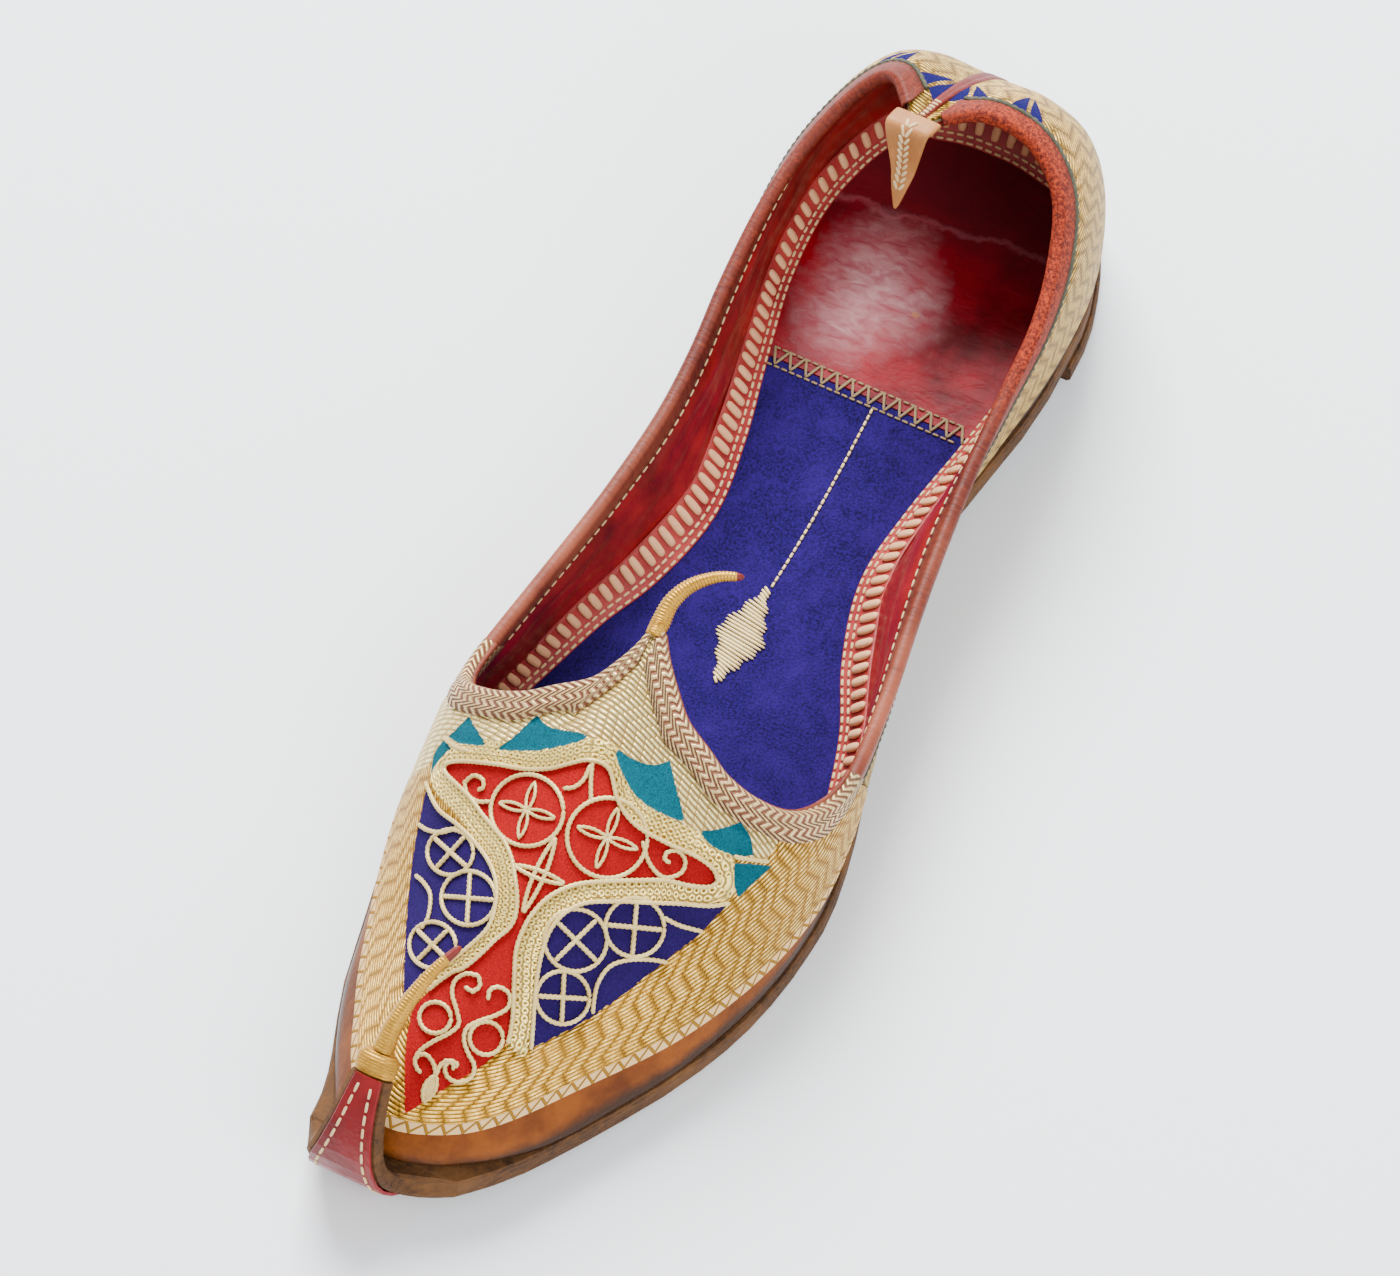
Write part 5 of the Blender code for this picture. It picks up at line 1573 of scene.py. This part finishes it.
    # Felt of three colours lies where a mark is under 0, and gold stands where all are over 0
    felt_height = node(tree, "TexNoise", {"Vector": place, "Scale": 2400.0, "Detail": 4.0,
                                          "Roughness": 0.8})
    fluff = node(tree, "MapRange", {0: felt_height, 1: 0.3, 2: 0.7})
    solid = 1.0
    for name, dark, light in (("teal", "024450", "006f82"), ("violet", "170a3c", "2f1668"),
                              ("red", "880810", "c00f16")):
        edge = node(tree, "MapRange", {0: marks[name], 1: -0.10, 2: 0.10})
        felt = node(tree, "Mix", {0: fluff, 6: dark, 7: light}, data_type="RGBA")
        base = node(tree, "Mix", {0: edge, 6: felt, 7: base}, data_type="RGBA")
        solid = node(tree, "Math", {0: solid, 1: edge}, operation="MULTIPLY")
    metal = node(tree, "Math", {0: solid, 1: metal}, operation="MULTIPLY")
    relief = node(tree, "Mix", {0: solid, 2: felt_height, 3: height})
    surface(tree, shader, base, node(tree, "MapRange", {0: metal, 3: 0.9, 4: 0.40}),
            node(tree, "Math", {0: metal, 1: 0.6}, operation="MULTIPLY"), height=relief,
            depth=0.0005)
    return material


def quarter_material():
    """Gold-wire embroidery of the quarters, with blue felt triangles near the back."""
    material, tree, shader = new_material("quarter_embroidery", Specular_IOR_Level=0.12)
    place = node(tree, "TexCoord").outputs["Object"]
    chart = node(tree, "SeparateXYZ", {0: node(tree, "UVMap")})
    drop = node(tree, "Attribute", attribute_name="drop").outputs["Fac"]
    back = node(tree, "Attribute", attribute_name="from_back").outputs["Fac"]
    wires = weave_parts(tree, chart.outputs[0], chart.outputs[1], *GOLD_ROWS)
    # Gold with painted shade between its rows and a painted glint on their tops
    _, gold = gold_colour(tree, place, wires, "463208", "b88a30", "f0cc70")
    # Blue triangles in a row below the collar, each with a gold vein down its middle
    lean = node(tree, "Math", {0: drop, 1: 0.35, 2: back}, operation="MULTIPLY_ADD")
    off = apart(tree, repeating(tree, lean, 11.0), 0.5)
    half = node(tree, "MapRange", {0: drop, 1: 5.0, 2: 14.0, 3: 0.34, 4: 0.0})
    inside = node(tree, "Math", {0: half, 1: off}, operation="SUBTRACT")
    blue = node(tree, "MapRange", {0: inside, 1: -0.008, 2: 0.008})
    vein = node(tree, "MapRange", {0: off, 1: 0.03, 2: 0.045})
    below = node(tree, "MapRange", {0: drop, 1: 5.2, 2: 5.4})
    near = node(tree, "MapRange", {0: back, 1: 21.0, 2: 21.4, 3: 1.0, 4: 0.0})
    for part in (vein, below, near):
        blue = node(tree, "Math", {0: blue, 1: part}, operation="MULTIPLY")
    felt_height = node(tree, "TexNoise", {"Vector": place, "Scale": 2400.0, "Detail": 4.0,
                                          "Roughness": 0.8})
    felt = node(tree, "Mix", {0: felt_height, 6: "100c40", 7: "201a6c"}, data_type="RGBA")
    base = node(tree, "Mix", {0: blue, 6: gold, 7: felt}, data_type="RGBA")
    metal = node(tree, "Math", {0: 1.0, 1: blue}, operation="SUBTRACT")
    relief = node(tree, "Mix", {0: blue, 2: wires, 3: felt_height})
    surface(tree, shader, base, node(tree, "MapRange", {0: metal, 3: 0.9, 4: 0.44}),
            node(tree, "Math", {0: metal, 1: 0.55}, operation="MULTIPLY"), height=relief,
            depth=0.0005)
    return material


def braid_material():
    """Braid of the throat: silver-gilt strands in a herringbone over a red-brown ground,
    tarnished green at its right end."""
    material, tree, shader = new_material("metal_braid")
    place = node(tree, "TexCoord").outputs["Object"]
    chart = node(tree, "SeparateXYZ", {0: node(tree, "UVMap")})
    fold = node(tree, "Math", {0: chart.outputs[1], 1: 1.7}, operation="PINGPONG")
    slant = node(tree, "Math", {0: fold, 1: 1.1, 2: chart.outputs[0]}, operation="MULTIPLY_ADD")
    ridge = hump(tree, repeating(tree, slant, 1.7))
    fine = node(tree, "TexNoise", {"Vector": place, "Scale": 1800.0, "Detail": 3.0})
    patches = node(tree, "TexNoise", {"Vector": place, "Scale": 200.0, "Detail": 4.0})
    grain = node(tree, "MapRange", {0: fine, 1: 0.3, 2: 0.7, 3: 0.65, 4: 1.15})
    worn = node(tree, "Math", {0: ridge, 1: grain}, operation="MULTIPLY", use_clamp=True)
    shade = node(tree, "MapRange", {0: worn, 1: 0.52, 2: 0.82})
    ground = node(tree, "Mix", {0: patches, 6: "6c2416", 7: "7a5228"}, data_type="RGBA")
    metal = node(tree, "Mix", {0: patches, 6: "f0d090", 7: "b49a68"}, data_type="RGBA")
    base = node(tree, "Mix", {0: shade, 6: ground, 7: metal}, data_type="RGBA")
    tarnish = node(tree, "MapRange", {0: chart.outputs[0], 1: 58.0, 2: 80.0, 4: 0.75})
    green = node(tree, "Mix", {0: shade, 6: "3c4a34", 7: "8a8c66"}, data_type="RGBA")
    base = node(tree, "Mix", {0: tarnish, 6: base, 7: green}, data_type="RGBA")
    surface(tree, shader, base, node(tree, "MapRange", {0: shade, 3: 0.75, 4: 0.42}),
            node(tree, "MapRange", {0: shade, 4: 0.5}), height=ridge, depth=0.0004)
    return material


def velvet_material():
    """Insole cloth of the forepart: cotton velvet in royal blue, its pile a little crushed."""
    material, tree, shader = new_material("insole_velvet", Specular_IOR_Level=0.08)
    place = node(tree, "TexCoord").outputs["Object"]
    pile = node(tree, "TexNoise", {"Vector": place, "Scale": 1900.0, "Detail": 4.0})
    worn = node(tree, "TexNoise", {"Vector": place, "Scale": 130.0, "Detail": 6.0,
                                   "Roughness": 0.65})
    base = node(tree, "Mix", {0: node(tree, "MapRange", {0: pile, 1: 0.35, 2: 0.65}),
                              6: "10062e", 7: "220e5c"}, data_type="RGBA")
    crushed = node(tree, "MapRange", {0: worn, 1: 0.42, 2: 0.7, 4: 0.45})
    base = node(tree, "Mix", {0: crushed, 6: base, 7: "30186e"}, data_type="RGBA")
    surface(tree, shader, base, node(tree, "MapRange", {0: pile, 3: 0.8, 4: 0.98}), height=pile,
            depth=0.0003)
    return material


def floor_material():
    """Studio paper, plain and nearly white."""
    material, _, shader = new_material("studio_paper", Roughness=0.9)
    shader.inputs["Base Color"].default_value = colour("f6fafe")
    return material


def build_floor():
    """The studio floor under the shoe."""
    work = bmesh.new()
    bmesh.ops.create_grid(work, x_segments=1, y_segments=1, size=2.5)
    mesh = bpy.data.meshes.new("studio_floor")
    work.to_mesh(mesh)
    work.free()
    mesh.materials.append(floor_material())
    floor = bpy.data.objects.new("studio_floor", mesh)
    floor.location.z = -0.0002
    bpy.context.scene.collection.objects.link(floor)


def add_light(name, place, size, power):
    """A soft square light that faces the shoe."""
    data = bpy.data.lights.new(name, "AREA")
    data.size = size
    data.energy = power
    light = bpy.data.objects.new(name, data)
    light.location = place
    light.rotation_euler = (-Vector(place)).to_track_quat("-Z", "Y").to_euler()
    bpy.context.scene.collection.objects.link(light)


def light_scene():
    """Soft studio light from beyond the heel, a small glossy light and pale surroundings."""
    world = bpy.data.worlds.new("studio")
    world.use_nodes = True
    backdrop = world.node_tree.nodes["Background"]
    backdrop.inputs[0].default_value = (0.97, 0.985, 1.0, 1.0)
    backdrop.inputs[1].default_value = 0.94
    bpy.context.scene.world = world
    add_light("key", (-0.80, -0.55, 1.05), 0.80, 64.0)
    add_light("gloss", (-0.66, -0.22, 0.95), 0.16, 2.0)
    add_light("fill", (0.5, 0.9, 0.9), 0.8, 16.0)


def put_on(names, material):
    """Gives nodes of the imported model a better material."""
    for name in names:
        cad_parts[name].data.materials[0] = material


def build_shoe():
    """Every piece of the shoe."""
    red = leather_material("horn_leather", "7c1a0c", "4c0c06", 0.45, crease_size=0.004)
    facing = leather_material("facing_leather", "8c0e14", "5c080c", 0.36, coat=0.08,
                              crease_size=0.007)
    lining = leather_material("lining_leather", "96141a", "5a080a", 0.42, coat=0.1,
                              crease_size=0.008)
    pink = leather_material("inner_band_leather", "a83c38", "801c20", 0.45, crease_size=0.005)
    tan = leather_material("tab_leather", "c08046", "9a6232", 0.5, crease_size=0.006)
    strip_red = leather_material("back_leather", "721a10", "4e0c08", 0.55, crease_size=0.006)
    cream = thread_material("cream_thread", "f8e0b4", "b08850")
    # The ladder's laces are narrow strips of soft leather
    bars = thread_material("ladder_leather", "f8c89a", "c88a60", roughness=0.5)
    grey = thread_material("grey_cord", "626252", "2a2c20", 0.1, 0.6)
    olive = thread_material("seam_thread", "b09870", "5e4c34")
    cord = thread_material("cream_gold_cord", "fff0ae", "b48a36", 0.3, 0.4)
    satin = thread_material("pale_gold_thread", "fff0b8", "b8985c", 0.3, 0.45)
    wound = thread_material("wound_gold_thread", "f2bc48", "7c4c0a", 0.6, 0.34)
    build_wall(outer_material(), lining)
    build_cords(build_vamp(vamp_material()), cord)
    build_quarters(quarter_material())
    build_back_strip(strip_red)
    roll = roll_material()
    # Folded strips: how far they stand out and in, their skin, depth and roundness
    collar = (0.00125, -0.00175, 0.00045, 0.0037, 0.0012)
    woven = (0.00140, -0.00190, 0.00060, 0.0040, 0.0014)
    heel = float(HEEL_RIB)
    for side, start, end in (("right", CORNER + 0.05, heel - 0.8),
                             ("left", heel + 0.8, AROUND - CORNER - 0.05)):
        build_edge("collar_roll_" + side, start, end, 241, roll, ("collar_binding_" + side,),
                   "red_leather", *collar)
        build_edge_threads(cream, grey, start, end, side)
    braid = braid_material()
    for side, start, end in (("right", 0.22, CORNER + 0.10),
                             ("left", AROUND - CORNER - 0.10, AROUND - 0.22)):
        build_edge("throat_braid_woven_" + side, start, end, 201, braid,
                   ("throat_braid_" + side,), "thread_braid", *woven)
        build_piping(roll, start, end, side)
    build_horns(wound, red)
    build_heel_tab(tan, cream)
    build_inside(pink, cream, bars)
    build_floor_stitches(olive, satin)
    build_toe_stitches(cream)
    put_on(("outsole", "heel_lift"), sole_material())
    put_on(("heel_sock",), sock_material())
    put_on(("toe_facing",), facing)
    put_on(("insole_cloth",), velvet_material())
    put_on(("insole",), tan)


build_shoe()
build_floor()
light_scene()
add_camera()
